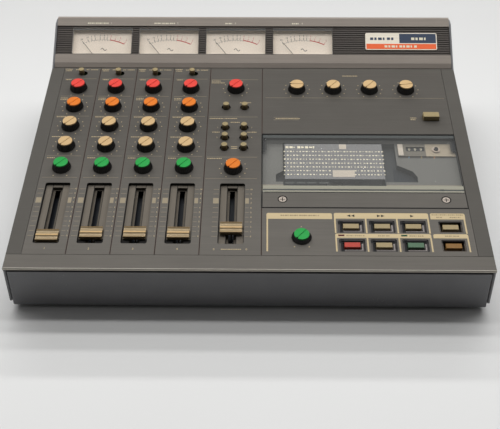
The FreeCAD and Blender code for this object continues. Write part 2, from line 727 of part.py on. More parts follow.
def input_switch_hole(x):
    """Slot for the sliding input switch, open to the side it slides towards."""
    left = rod(x, INPUT_SWITCH_L, -2 * PANEL_SHEET, PANEL_SHEET, SWITCH_HOLE_RADIUS)
    right = rod(x + INPUT_SWITCH_TRAVEL, INPUT_SWITCH_L, -2 * PANEL_SHEET, PANEL_SHEET, SWITCH_HOLE_RADIUS)
    middle = block(x, x + INPUT_SWITCH_TRAVEL, INPUT_SWITCH_L - SWITCH_HOLE_RADIUS,
                   INPUT_SWITCH_L + SWITCH_HOLE_RADIUS, -2 * PANEL_SHEET, PANEL_SHEET)
    return [left, right, middle]


def dividers():
    """Fine grooves between the mixer's channels and beside the tape section."""
    half = CHANNEL_PITCH / 2
    xs = [x + half for x in CHANNEL_XS]
    grooves = [block(x - DIVIDER_WIDTH / 2, x + DIVIDER_WIDTH / 2, PANEL_START, PANEL_END, -DIVIDER_DEPTH,
                     DIVIDER_DEPTH) for x in xs]
    for start, end in ((PANEL_START, BAY_START), (BAY_END, PANEL_END)):
        grooves.append(block(SECTION_X - DIVIDER_WIDTH / 2, SECTION_X + DIVIDER_WIDTH / 2, start, end,
                             -DIVIDER_DEPTH, DIVIDER_DEPTH))
    return grooves


def control_panel():
    """The sloping metal panel with its windows, holes, grooves and the open cassette bay."""
    sheet = block(-PANEL_EDGE_X, PANEL_EDGE_X, PANEL_START, PANEL_END, -PANEL_SHEET, 0)
    middle_l = FADER_WINDOW_START + FADER_WINDOW_LENGTH / 2
    tools = [through(x, middle_l, FADER_WINDOW_WIDTH, FADER_WINDOW_LENGTH, FADER_WINDOW_CORNER)
             for x in fader_xs()]
    for _, x, l, deep in key_places():
        width = DEEP_WINDOW_WIDTH if deep else KEY_WINDOW_WIDTH
        length = DEEP_WINDOW_LENGTH if deep else KEY_WINDOW_LENGTH
        tools.append(through(x, l, width, length, KEY_WINDOW_CORNER))
    tools.append(block(BAY_LEFT, WIDTH, BAY_START, BAY_END, -2 * PANEL_SHEET, PANEL_SHEET))
    tools.append(cross_rod(LID_LEFT - LID_PIN_LENGTH - SEAM, LID_LEFT, LID_PIVOT_L, LID_PIVOT_H,
                           LID_PIN_RADIUS + RUNNING_GAP))
    for _, x, l, _ in knob_places():
        tools.append(rod(x, l, -2 * PANEL_SHEET, PANEL_SHEET, BUSHING_RADIUS + SEAM / 2))
    for x, l in select_places():
        tools.append(rod(x, l, -2 * PANEL_SHEET, PANEL_SHEET, SELECT_HOLE_RADIUS))
    for x in CHANNEL_XS:
        tools += input_switch_hole(x)
    tools.append(through(NR_X, NR_L, NR_WIDTH + 2 * GUIDE_GAP, NR_LENGTH + 2 * GUIDE_GAP, GUIDE_GAP))
    for x in LED_COLUMNS:
        tools.append(centred_block(x, LED_L, LED_WIDTH, LED_LENGTH, -2 * PANEL_SHEET, PANEL_SHEET))
    return on_panel(cut(sheet, tools + dividers()))


# ---------------------------------------------------------------- panel inserts

def fader_plate():
    """Painted plate under the fader windows, with a long slot for each fader."""
    left = CHANNEL_XS[0] - FADER_WINDOW_WIDTH / 2 - INSERT_MARGIN
    right = MASTER_X + FADER_WINDOW_WIDTH / 2 + INSERT_MARGIN
    end = FADER_WINDOW_START + FADER_WINDOW_LENGTH + INSERT_MARGIN
    plate = block(left, right, FADER_WINDOW_START - INSERT_MARGIN, end, -PANEL_SHEET - INSERT_SHEET,
                  -PANEL_SHEET)
    slots = [block(x - FADER_SLOT_WIDTH / 2, x + FADER_SLOT_WIDTH / 2, FADER_SLOT_START, FADER_SLOT_END,
                   -3 * PANEL_SHEET, 0) for x in fader_xs()]
    return cut(plate, slots)


def key_bezel(x, l):
    """Stepped frame that fills a key window and guides the key."""
    width = KEY_WINDOW_WIDTH - SEAM
    length = KEY_WINDOW_LENGTH - SEAM
    low = -PANEL_SHEET - INSERT_SHEET
    frame = soft_block(x, l, width, length, low, -BEZEL_SINK, KEY_WINDOW_CORNER - SEAM / 2)
    steps = [centred_block(x, l, width - 2 * inset, length - 2 * inset, -depth - BEZEL_SINK, PANEL_SHEET)
             for inset, depth in KEY_STEP_SETS]
    return cut(frame, steps + [key_hole(x, l, 2 * low)])


def key_hole(x, l, low):
    """Guide hole for a key, from below its frame up past the panel's face."""
    return centred_block(x, l, KEY_WIDTH + 2 * GUIDE_GAP, KEY_LENGTH + 2 * GUIDE_GAP, low, PANEL_SHEET)


def deep_well(x, l):
    """Black pocket around the zero return and eject keys."""
    width = DEEP_WINDOW_WIDTH - SEAM
    length = DEEP_WINDOW_LENGTH - SEAM
    low = -DEEP_FLOOR - INSERT_SHEET
    shell = soft_block(x, l, width, length, low, -DEEP_SINK, KEY_WINDOW_CORNER - SEAM / 2)
    pocket = centred_block(x, l, width - 2 * DEEP_WALL, length - 2 * DEEP_WALL, -DEEP_FLOOR, PANEL_SHEET)
    return cut(shell, [pocket, key_hole(x, l, 2 * low)])


def leds():
    """Two small rectangular lamps beside the record and pause keys."""
    return [centred_block(x, LED_L, LED_WIDTH - SEAM / 2, LED_LENGTH - SEAM / 2, -PANEL_SHEET, LED_RISE)
            for x in LED_COLUMNS]


def panel_inserts():
    """Everything that fills the panel's windows: fader plate, key frames, deep wells and lamps."""
    pieces = [fader_plate()]
    for _, x, l, deep in key_places():
        pieces.append(deep_well(x, l) if deep else key_bezel(x, l))
    return [on_panel(s) for s in pieces + leds()]


# ---------------------------------------------------------------- knobs, faders, switches and keys

def ribbed_skirt(height):
    """Conical knob skirt with fine upright ribs, drawn about the origin."""
    rings = []
    for z, radius in ((SKIRT_CLEAR, SKIRT_RADIUS), (height, SKIRT_TOP_RADIUS)):
        points = []
        for i in range(2 * SKIRT_RIBS):
            a = math.pi * i / SKIRT_RIBS
            r = radius - (i % 2) * SKIRT_RIB_DEPTH
            points.append(Vector(r * math.cos(a), r * math.sin(a), z))
        rings.append(Part.makePolygon(points + [points[0]]))
    return Part.makeLoft(rings, True, True)


def knob_cap(low):
    """Flat coloured cap with a line across it and a notch at the rim, pointing along +x."""
    top = low + CAP_HEIGHT
    disc = rod(0, 0, low, top, CAP_RADIUS)
    rim = [e for e in disc.Edges if abs(e.BoundBox.ZMin - top) < 1e-6 and e.BoundBox.ZLength < 1e-6]
    disc = disc.makeFillet(CAP_EDGE, rim)
    slot = centred_block(0, 0, 2 * CAP_RADIUS + 2, CAP_SLOT_WIDTH, top - CAP_SLOT_DEPTH, top + 1)
    notch = block(CAP_RADIUS - CAP_NOTCH_DEPTH, CAP_RADIUS + 1, -CAP_NOTCH_WIDTH / 2, CAP_NOTCH_WIDTH / 2,
                  low - 1, top + 1)
    return cut(disc, [slot, notch])


def rotary_knob(height):
    """Skirt of a given height, coloured cap and metal shaft about the origin, pointer along +x."""
    seat = height - KNOB_ROOF
    bore = rod(0, 0, 0, seat, SHAFT_RADIUS)
    hollow = rod(0, 0, 0, height / 2, BUSHING_RADIUS + BUSHING_CLEAR)
    skirt = cut(ribbed_skirt(height), [bore, hollow])
    shaft = rod(0, 0, -SHAFT_DEPTH, seat, SHAFT_RADIUS)
    return [skirt, knob_cap(height), shaft]


def placed_knob(pieces, x, l, angle):
    """The knob's solids turned to their pointer angle and set on the panel."""
    turn = Placement(Vector(x, l, 0), Rotation(Vector(0, 0, 1), angle))
    placed = []
    for piece in pieces:
        copy = piece.copy()
        copy.Placement = turn
        placed.append(on_panel(copy))
    return placed


def fader_knob(x, l):
    """Tan fader cap, dished on both sides of its ridge and grooved above its foot, on its stem."""
    half = FADER_KNOB_LENGTH / 2
    waist = half - FADER_GROOVE_DEPTH
    ridge = FADER_RIDGE_WIDTH / 2
    middle = (half + ridge) / 2
    top = FADER_KNOB_HEIGHT
    crest = top - FADER_RIDGE_DROP
    dish = top - FADER_DISH_DEPTH
    low = -FADER_KNOB_SINK
    lip = low + FADER_LIP_HEIGHT
    neck = lip + FADER_GROOVE_HEIGHT
    x0 = x - FADER_KNOB_WIDTH / 2

    def at(dl, h):
        return Vector(x0, l + dl, h)

    side = [(half, top), (half, neck), (waist, neck), (waist, lip), (half, lip), (half, low)]
    outline = [at(dl, h) for dl, h in side] + [at(-dl, h) for dl, h in reversed(side)]
    edges = [Part.makeLine(a, b) for a, b in zip(outline, outline[1:])]
    edges += [Part.Arc(at(-half, top), at(-middle, dish), at(-ridge, crest)).toShape(),
              Part.makeLine(at(-ridge, crest), at(ridge, crest)),
              Part.Arc(at(ridge, crest), at(middle, dish), at(half, top)).toShape()]
    cap = Part.Face(Part.Wire(edges)).extrude(Vector(FADER_KNOB_WIDTH, 0, 0))
    stem = centred_block(x, l, FADER_STEM_WIDTH, FADER_STEM_LENGTH, -FADER_STEM_DEPTH, low)
    return [on_panel(cap), on_panel(stem)]


def transport_key(x, l, deep):
    """Key cap with a retaining flange under its frame."""
    top = 0.0 if deep else KEY_RISE
    cap = centred_block(x, l, KEY_WIDTH, KEY_LENGTH, top - KEY_SINK, top)
    edges = [e for e in cap.Edges if abs(e.BoundBox.ZMin - top) < 1e-6]
    cap = cap.makeFillet(GUIDE_GAP, edges)
    under = (DEEP_FLOOR + INSERT_SHEET if deep else PANEL_SHEET + INSERT_SHEET) + SEAM / 2
    body = centred_block(x, l, KEY_WIDTH, KEY_LENGTH, -under, -PANEL_SHEET)
    flange = centred_block(x, l, KEY_WIDTH + 2 * KEY_FLANGE, KEY_LENGTH + 2 * KEY_FLANGE,
                           -under - KEY_FLANGE_SHEET, -under)
    plunger = centred_block(x, l, KEY_PLUNGER, KEY_PLUNGER, -under - KEY_PLUNGER, -under)
    return on_panel(fuse([cap, body, flange, plunger]))


def input_switch(x):
    """Round sliding input switch with its stem."""
    cap = rod(x, INPUT_SWITCH_L, INPUT_SWITCH_CLEAR, INPUT_SWITCH_HEIGHT, INPUT_SWITCH_RADIUS)
    rim = [e for e in cap.Edges if abs(e.BoundBox.ZMin - INPUT_SWITCH_HEIGHT) < 1e-6]
    cap = cap.makeFillet(GUIDE_GAP, rim)
    stem = rod(x, INPUT_SWITCH_L, -PANEL_SHEET - SWITCH_STEM_REACH, INPUT_SWITCH_CLEAR, SWITCH_STEM_RADIUS)
    return on_panel(fuse([cap, stem]))


def select_button(x, l):
    """Small round push button of the master section."""
    cap = rod(x, l, -PANEL_SHEET, SELECT_HEIGHT, SELECT_RADIUS)
    rim = [e for e in cap.Edges if abs(e.BoundBox.ZMin - SELECT_HEIGHT) < 1e-6]
    return on_panel(cap.makeFillet(GUIDE_GAP, rim))


def nr_switch():
    """Rectangular noise reduction button."""
    cap = centred_block(NR_X, NR_L, NR_WIDTH, NR_LENGTH, -PANEL_SHEET - KEY_FLANGE_SHEET, NR_HEIGHT)
    rim = [e for e in cap.Edges if abs(e.BoundBox.ZMin - NR_HEIGHT) < 1e-6]
    cap = cap.makeFillet(GUIDE_GAP, rim)
    plunger = centred_block(NR_X, NR_L, KEY_PLUNGER, KEY_PLUNGER, -PANEL_SHEET - KEY_PLUNGER, -PANEL_SHEET)
    return on_panel(fuse([cap, plunger]))


# ---------------------------------------------------------------- cassette lid

def lid_strip():
    """Metal front strip of the lid with the bar and lip that carry the window."""
    strip = block(LID_LEFT, LID_RIGHT, LID_START, LID_STRIP_END, -LID_SHEET, 0)
    bar = block(LID_LEFT + LID_BAR_INSET, LID_RIGHT - LID_BAR_INSET, BAY_START + LID_BAR_LIFT,
                LID_STRIP_END + LID_LIP, -LID_SHEET - LID_LIP_SHEET, -LID_SHEET)
    recesses = [rod(x, LID_SCREW_L, -LID_SCREW_HEAD, 1, LID_SCREW_RADIUS + SEAM) for x in lid_screw_xs()]
    holes = [rod(x, LID_SCREW_L, -2 * LID_SHEET, 1, LID_SCREW_RADIUS / 2 + SEAM / 2) for x in lid_screw_xs()]
    return cut(fuse([strip, bar]), recesses + holes)


def lid_screw_xs():
    """Places of the two lid screws across the strip."""
    return [LID_LEFT + LID_SCREW_INSET, LID_RIGHT - LID_SCREW_INSET]


def lid_screw(x):
    """Cross-slotted screw let into the lid's strip."""
    head = rod(x, LID_SCREW_L, -LID_SCREW_HEAD, -HEAD_SINK, LID_SCREW_RADIUS)
    shank = rod(x, LID_SCREW_L, -2 * LID_SHEET, -LID_SCREW_HEAD, LID_SCREW_RADIUS / 2)
    reach = LID_SCREW_RADIUS * CROSS_SHARE
    low = -HEAD_SINK - LID_SCREW_CROSS_DEPTH
    slots = [centred_block(x, LID_SCREW_L, reach, LID_SCREW_CROSS, low, 1),
             centred_block(x, LID_SCREW_L, LID_SCREW_CROSS, reach, low, 1)]
    return cut(fuse([head, shank]), slots)


def hinge_arm(side):
    """Arm at one rear corner of the window, round about the pivot, with its pin."""
    outer = LID_LEFT if side < 0 else LID_RIGHT
    inward = -side
    x0, x1 = sorted((outer, outer + inward * HINGE_ARM_WIDTH))
    boss = cross_rod(x0, x1, LID_PIVOT_L, LID_PIVOT_H, LID_SHEET / 2)
    neck = block(x0, x1, LID_PIVOT_L - HINGE_NECK, LID_PIVOT_L, -LID_SHEET, 0)
    arm = block(x0, x1, LID_PIVOT_L - HINGE_ARM_LENGTH, LID_PIVOT_L - 1, -LID_SHEET - HINGE_ARM_DROP,
                -LID_SHEET)
    pin_x0, pin_x1 = sorted((outer, outer + side * (LID_PIN_LENGTH - SEAM)))
    pin = cross_rod(pin_x0, pin_x1, LID_PIVOT_L, LID_PIVOT_H, LID_PIN_RADIUS)
    return fuse([boss, neck, arm, pin])


def lid_catch():
    """Small hoop under the window that latches the lid."""
    low = -LID_SHEET - LID_LIP_SHEET - CATCH_DROP
    outer = centred_block(CATCH_X, CATCH_L, CATCH_WIDTH, CATCH_LENGTH, low, -LID_SHEET)
    inner = centred_block(CATCH_X, CATCH_L, CATCH_WIDTH - 2 * CATCH_WALL, 2 * CATCH_LENGTH, 2 * low,
                          -LID_SHEET - CATCH_WALL)
    return cut(outer, [inner])


def lid_frame():
    """Metal and dark pieces of the lid."""
    pieces = [lid_strip(), hinge_arm(-1), hinge_arm(1), lid_catch()]
    pieces += [lid_screw(x) for x in lid_screw_xs()]
    return [on_panel(s) for s in pieces]


def lid_window():
    """Clear window of the lid with a round rear edge and a notch for each hinge arm."""
    gap = SEAM / 4
    plate = block(LID_LEFT, LID_RIGHT, LID_STRIP_END + gap, LID_PIVOT_L, -LID_SHEET, 0)
    edge = cross_rod(LID_LEFT, LID_RIGHT, LID_PIVOT_L, LID_PIVOT_H, LID_SHEET / 2)
    notch_l = LID_PIVOT_L - HINGE_NECK - gap
    notch = HINGE_ARM_WIDTH + gap
    notches = [block(x - notch, x + notch, notch_l, BAY_END, -2 * LID_SHEET, LID_SHEET)
               for x in (LID_LEFT, LID_RIGHT)]
    return on_panel(cut(fuse([plate, edge]), notches))


# ---------------------------------------------------------------- tape deck

def prism(points, h0, h1):
    """An upright prism over a closed outline of (x, l) points."""
    corners = [Vector(x, l, h0) for x, l in points]
    return Part.Face(Part.makePolygon(corners + [corners[0]])).extrude(Vector(0, 0, h1 - h0))


def grown(points, margin):
    """The outline moved outwards from its middle box by a margin on each side."""
    xs = [p[0] for p in points]
    ls = [p[1] for p in points]
    mid_x = (min(xs) + max(xs)) / 2
    mid_l = (min(ls) + max(ls)) / 2
    out = []
    for x, l in points:
        out.append((x + math.copysign(margin, x - mid_x), l + math.copysign(margin, l - mid_l)))
    return out


def pocket_outlines():
    """Each pocket of the deck as (outline, floor height)."""
    well = [(WELL_START_X, WELL_START_L), (WELL_END_X, WELL_START_L), (WELL_END_X, WELL_END_L),
            (WELL_START_X, WELL_END_L)]
    shoulder_x = WELL_END_X + SHOULDER_WIDTH
    front = WELL_START_L + SIDE_BAY_INSET
    bay_x = shoulder_x + RIGHT_BAY_REACH
    first, second, third = [front + step for step in RIGHT_BAY_STEPS]
    left_x = WELL_START_X - LEFT_BAY_REACH
    left_end = front + LEFT_BAY_LENGTH
    shoulder = [(WELL_END_X - 1, front), (shoulder_x, front), (shoulder_x, WELL_END_L - 1),
                (WELL_END_X - 1, WELL_END_L - 1)]
    right = [(shoulder_x - 1, front), (bay_x, front), (bay_x, first), (bay_x - RIGHT_BAY_SKEW, second),
             (shoulder_x - 1, third)]
    left = [(left_x, front), (WELL_START_X + 1, front), (WELL_START_X + 1, left_end),
            (left_x, left_end - LEFT_BAY_SKEW)]
    return [(well, WELL_FLOOR_H), (shoulder, SIDE_BAY_FLOOR_H), (right, SIDE_BAY_FLOOR_H),
            (left, SIDE_BAY_FLOOR_H)]


def deck_plate():
    """Moulded deck under the lid: rim, floor, cassette well, shoulder and the two finger bays."""
    wall = DECK_SHEET
    low = -DECK_DROP - wall
    rim = [block(BAY_LEFT - wall, BAY_LEFT, BAY_START - wall, BAY_END + wall, -DECK_DROP, -PANEL_SHEET),
           block(BAY_LEFT - wall, LID_RIGHT, BAY_START - wall, BAY_START, -DECK_DROP, -PANEL_SHEET),
           block(BAY_LEFT - wall, LID_RIGHT, BAY_END, BAY_END + wall, -DECK_DROP, -PANEL_SHEET)]
    top = block(BAY_LEFT - wall, LID_RIGHT, BAY_START - wall, BAY_END + wall, low, -DECK_DROP)
    shells = [prism(grown(points, wall), floor - wall, -DECK_DROP) for points, floor in pocket_outlines()]
    pockets = [prism(points, floor, -DECK_DROP + 1) for points, floor in pocket_outlines()]
    reset_hole = rod(RESET_X, RESET_L, 2 * low, 0, RESET_STEM_RADIUS + RUNNING_GAP)
    counter_x = (COUNTER_WINDOW_X - CRADLE_SHEET, COUNTER_WINDOW_X + COUNTER_WINDOW_WIDTH + CRADLE_SHEET)
    counter_l = (COUNTER_WINDOW_L - 2 * CRADLE_SHEET,
                 COUNTER_WINDOW_L + COUNTER_WINDOW_LENGTH + 2 * CRADLE_SHEET)
    counter_hole = block(*counter_x, *counter_l, 2 * low, 0)
    floor = (WELL_FLOOR_H - 2 * wall, WELL_FLOOR_H + 1)
    shaft_holes = [rod(x, REEL_L, *floor, REEL_RADIUS + SEAM) for x in REEL_XS]
    shaft_holes.append(rod(CAPSTAN_X, CAPSTAN_L, *floor, CAPSTAN_RADIUS + RUNNING_GAP))
    return on_panel(cut(fuse([top] + rim + shells), pockets + [reset_hole, counter_hole] + shaft_holes))


def reel_spindle(x):
    """Splined spindle that drives a cassette hub, on the reel table under the deck."""
    top = WELL_FLOOR_H + REEL_HEIGHT
    table_top = WELL_FLOOR_H - DECK_SHEET - SEAM
    shaft = rod(x, REEL_L, table_top, top, REEL_CORE_RADIUS)
    fins = []
    for i in range(3):
        fin = block(0, REEL_RADIUS, -REEL_FIN / 2, REEL_FIN / 2, WELL_FLOOR_H + SEAM, top - REEL_FIN)
        fin.Placement = Placement(Vector(x, REEL_L, 0), Rotation(Vector(0, 0, 1), 120 * i))
        fins.append(fin)
    table = rod(x, REEL_L, table_top - REEL_TABLE_SHEET, table_top, REEL_TABLE_RADIUS)
    return fuse([shaft, table] + fins)


def counter_plate():
    """Raised plate with the counter's window and the reset button's hole."""
    low = -DECK_DROP
    plate = block(COUNTER_X, COUNTER_X + COUNTER_WIDTH, COUNTER_L, COUNTER_L + COUNTER_LENGTH, low,
                  low + COUNTER_RISE)
    window = block(COUNTER_WINDOW_X, COUNTER_WINDOW_X + COUNTER_WINDOW_WIDTH, COUNTER_WINDOW_L,
                   COUNTER_WINDOW_L + COUNTER_WINDOW_LENGTH, 2 * low, 0)
    hole = rod(RESET_X, RESET_L, 2 * low, 0, RESET_STEM_RADIUS + SEAM)
    return cut(plate, [window, hole])


def counter_collar():
    """Ring round the reset button."""
    low = -DECK_DROP + COUNTER_RISE
    collar = rod(RESET_X, RESET_L, low, low + RESET_COLLAR_HEIGHT, RESET_COLLAR_RADIUS)
    return cut(collar, [rod(RESET_X, RESET_L, 2 * low, 0, RESET_STEM_RADIUS + SEAM)])


def counter_train():
    """Figure wheels on their axle, and the cradle that holds them under the window."""
    radius = COUNTER_WHEEL_RADIUS
    axle_l = COUNTER_WINDOW_L + COUNTER_WINDOW_LENGTH / 2
    axle_h = -DECK_DROP + COUNTER_RISE / 2 - radius
    width = (COUNTER_WINDOW_WIDTH - 2 * COUNTER_WHEEL_MARGIN) / COUNTER_WHEELS
    start = COUNTER_WINDOW_X + COUNTER_WHEEL_MARGIN
    wheels = [cross_rod(start + width * i + SEAM / 2, start + width * (i + 1), axle_l, axle_h, radius)
              for i in range(COUNTER_WHEELS)]
    room_x = (COUNTER_WINDOW_X - CRADLE_SHEET, COUNTER_WINDOW_X + COUNTER_WINDOW_WIDTH + CRADLE_SHEET)
    reach = radius + SEAM
    outer = reach + CRADLE_SHEET
    cradle = block(room_x[0] - 2 * CRADLE_SHEET, room_x[1] + 2 * CRADLE_SHEET, axle_l - outer, axle_l + outer,
                   axle_h - outer, -DECK_DROP - DECK_SHEET)
    room = block(*room_x, axle_l - reach, axle_l + reach, axle_h - reach, 0)
    axle = cross_rod(*room_x, axle_l, axle_h, COUNTER_AXLE_RADIUS)
    return [fuse(wheels + [axle]), cut(cradle, [room])]


def head_gear():
    """Heads, capstan with its flywheel, and pinch roller."""
    floor = WELL_FLOOR_H
    head_l = WELL_START_L + SEAM + HEAD_LENGTH / 2
    heads = centred_block(WELL_MIDDLE_X, head_l, HEAD_WIDTH, HEAD_LENGTH, floor, floor + HEAD_HEIGHT)
    erase = centred_block(WELL_MIDDLE_X - ERASE_OFFSET, head_l, ERASE_WIDTH, ERASE_LENGTH, floor,
                          floor + REEL_HEIGHT)
    flywheel_top = drive_plate_top() - DRIVE_SHEET - 1
    capstan = rod(CAPSTAN_X, CAPSTAN_L, flywheel_top - 1, floor + REEL_HEIGHT, CAPSTAN_RADIUS)
    flywheel = rod(CAPSTAN_X, CAPSTAN_L, flywheel_top - FLYWHEEL_SHEET, flywheel_top, FLYWHEEL_RADIUS)
    roller = rod(CAPSTAN_X, CAPSTAN_L - CAPSTAN_RADIUS - ROLLER_RADIUS, floor, floor + ROLLER_HEIGHT,
                 ROLLER_RADIUS)
    return [heads, erase, fuse([capstan, flywheel]), roller]


def ribbed_cover():
    """Cover with a row of shallow recesses, in front of the well."""
    top = -DECK_DROP + COVER_SHEET
    end = WELL_START_L - COVER_GAP
    start = end - COVER_LENGTH
    left = WELL_START_X + CRADLE_SHEET
    cover = block(left, WELL_END_X + COVER_OVERHANG, start, end, -DECK_DROP, top)
    ribs = []
    for i in range(COVER_RIB_COUNT):
        x = left + COVER_RIB_MARGIN + COVER_RIB_PITCH * i
        ribs.append(block(x, x + COVER_RIB_WIDTH, start + COVER_RIB_EDGE, end - COVER_RIB_EDGE,
                          top - COVER_RIB_DEPTH, 0))
    return cut(cover, ribs)


def drive_plate_top():
    """Height of the drive's mounting plate."""
    return WELL_FLOOR_H - DECK_SHEET - DRIVE_GAP


def drive_unit():
    """Motor and mounting plate under the deck, on four posts."""
    top = drive_plate_top()
    reach = DRIVE_POST_RADIUS + DECK_SHEET + SEAM
    left = WELL_START_X - reach
    right = WELL_END_X + SHOULDER_WIDTH + reach
    front = WELL_START_L - reach
    back = WELL_END_L + reach
    plate = block(left - reach, right + reach, front - reach, back + DRIVE_POST_RADIUS, top - DRIVE_SHEET,
                  top)
    shaft_hole = rod(CAPSTAN_X, CAPSTAN_L, top - 2 * DRIVE_SHEET, top + 1, CAPSTAN_RADIUS + RUNNING_GAP)
    motor = rod(WELL_START_X + MOTOR_OFFSET, REEL_L - MOTOR_SETBACK, top - DRIVE_SHEET - MOTOR_LENGTH,
                top - DRIVE_SHEET, MOTOR_RADIUS)
    posts = [rod(x, l, top, -DECK_DROP - DECK_SHEET, DRIVE_POST_RADIUS)
             for x in (left, right) for l in (front, back)]
    return [cut(plate, [shaft_hole]), motor] + posts


def tape_deck():
    """Counter, spindles, heads, cover and drive on the deck."""
    pieces = [counter_plate(), counter_collar()] + counter_train() + [reel_spindle(x) for x in REEL_XS]
    pieces += head_gear() + [ribbed_cover()] + drive_unit()
    return [on_panel(s) for s in pieces]


def counter_reset():
    """Black button that zeroes the counter."""
    top = -DECK_DROP + COUNTER_RISE + RESET_COLLAR_HEIGHT + RESET_TRAVEL - SEAM / 2
    under = -DECK_DROP - DECK_SHEET - SEAM
    stem = rod(RESET_X, RESET_L, under - 2 * RESET_FLANGE, top, RESET_STEM_RADIUS)
    flange = rod(RESET_X, RESET_L, under - RESET_FLANGE, under, RESET_STEM_RADIUS + RESET_FLANGE)
    return on_panel(fuse([stem, flange]))


# ---------------------------------------------------------------- meter bridge

def meter_housing():
    """Bent sheet hood: step, lower strip, ribbed band, upper strip, ridge and back, with meter windows."""
    ridge = bridge_point(BRIDGE_RUN, 0)
    line = [panel_point(STEP_START_L, -PANEL_SHEET), panel_point(STEP_START_L, 0), bridge_point(STEP_TOP, 0),
            bridge_point(LOWER_STRIP_TOP, 0), bridge_point(LOWER_STRIP_TOP, -BAND_DEPTH),
            bridge_point(UPPER_STRIP_START, -BAND_DEPTH), bridge_point(UPPER_STRIP_START, 0), ridge,
            (ridge[0] + RIDGE_FLAT, ridge[1]), (BACK_Y, ridge[1] - RIDGE_FLAT),
            (BACK_Y, PAN_RIM_Z + SEAM / 2)]
    hood = extrude_x(sheet_outline(line, HOUSING_SHEET), -PAN_HALF_WIDTH, PAN_HALF_WIDTH)
    ribs = []
    count = int((UPPER_STRIP_START - LOWER_STRIP_TOP) / RIB_PITCH)
    start = (UPPER_STRIP_START + LOWER_STRIP_TOP - count * RIB_PITCH) / 2
    for i in range(count):
        l = start + i * RIB_PITCH + (RIB_PITCH - RIB_WIDTH) / 2
        ribs.append(block(-PAN_HALF_WIDTH, PAN_HALF_WIDTH, l, l + RIB_WIDTH, -BAND_DEPTH - SEAM,
                          -BAND_DEPTH + RIB_HEIGHT))
    windows = [centred_block(x, METER_L, METER_WIDTH + SEAM, METER_LENGTH + SEAM, -4 * BAND_DEPTH, BAND_DEPTH)
               for x in METER_XS]
    seat = centred_block(BADGE_X, BADGE_L, BADGE_WIDTH + SEAM, BADGE_LENGTH + SEAM, -BAND_DEPTH, BAND_DEPTH)
    ribs = cut(Part.makeCompound(ribs), [seat])
    body = fuse([hood] + [on_bridge(s) for s in ribs.Solids])
    badge = soft_block(BADGE_X, BADGE_L, BADGE_WIDTH, BADGE_LENGTH, -BAND_DEPTH,
                       -BAND_DEPTH + BADGE_THICKNESS, BADGE_CORNER)
    return [cut(body, [on_bridge(w) for w in windows]), on_bridge(badge)]


def meter_needle(x):
    """Thin hand at rest, which rises from behind the window's lower edge."""
    low = METER_FACE_H - METER_DIAL_DEPTH + NEEDLE_LIFT
    angle = math.radians(NEEDLE_ANGLE)
    window_start = METER_L - METER_LENGTH / 2 + METER_WALL
    pivot_l = METER_L - METER_LENGTH / 2 + METER_WALL - NEEDLE_PIVOT_DROP
    start = (window_start - pivot_l) / math.sin(angle) + NEEDLE_WIDTH
    hand = block(start, NEEDLE_REACH, -NEEDLE_WIDTH / 2, NEEDLE_WIDTH / 2, low, low + NEEDLE_SHEET)
    hand.Placement = Placement(Vector(x + NEEDLE_OFFSET, pivot_l, 0), Rotation(Vector(0, 0, 1), NEEDLE_ANGLE))
    return hand


def vu_meter(x):
    """One level meter: case, dial, needle and clear front."""
    face = METER_FACE_H
    case = soft_block(x, METER_L, METER_WIDTH, METER_LENGTH, face - METER_TRAY, face, METER_CORNER)
    movement = rod(x, METER_L, face - METER_TRAY - MOVEMENT_DEPTH, face - METER_TRAY, MOVEMENT_RADIUS)
    inner_width = METER_WIDTH - 2 * METER_WALL
    inner_length = METER_LENGTH - 2 * METER_WALL
    dial_top = face - METER_DIAL_DEPTH
    cavity = centred_block(x, METER_L, inner_width, inner_length, dial_top - METER_CARD, face + 1)
    dial = centred_block(x, METER_L, inner_width, inner_length, dial_top - METER_CARD, dial_top)
    lens = centred_block(x, METER_L, inner_width, inner_length, face - METER_LENS, face)
    shell = cut(fuse([case, movement]), [cavity])
    return [on_bridge(s) for s in (shell, dial, meter_needle(x), lens)]


# ---------------------------------------------------------------- rear connectors

def jack_plate():
    """Plate in the back wall's window that carries the jacks and sockets."""
    y1 = BACK_Y
    plate = block(JACK_PLATE_START_X + SEAM / 2, JACK_PLATE_END_X - SEAM / 2, y1 - JACK_PLATE_SHEET, y1,
                  JACK_PLATE_Z - JACK_PLATE_HEIGHT / 2 + SEAM / 2,
                  JACK_PLATE_Z + JACK_PLATE_HEIGHT / 2 - SEAM / 2)
    holes = [back_rod(x, JACK_PLATE_Z, y1 - 2 * JACK_PLATE_SHEET, y1 + 1, JACK_BUSHING) for x in JACK_XS]
    holes += [back_rod(x, JACK_PLATE_Z, y1 - 2 * JACK_PLATE_SHEET, y1 + 1, PHONO_SEAT - 1) for x in PHONO_XS]
    return cut(plate, holes)


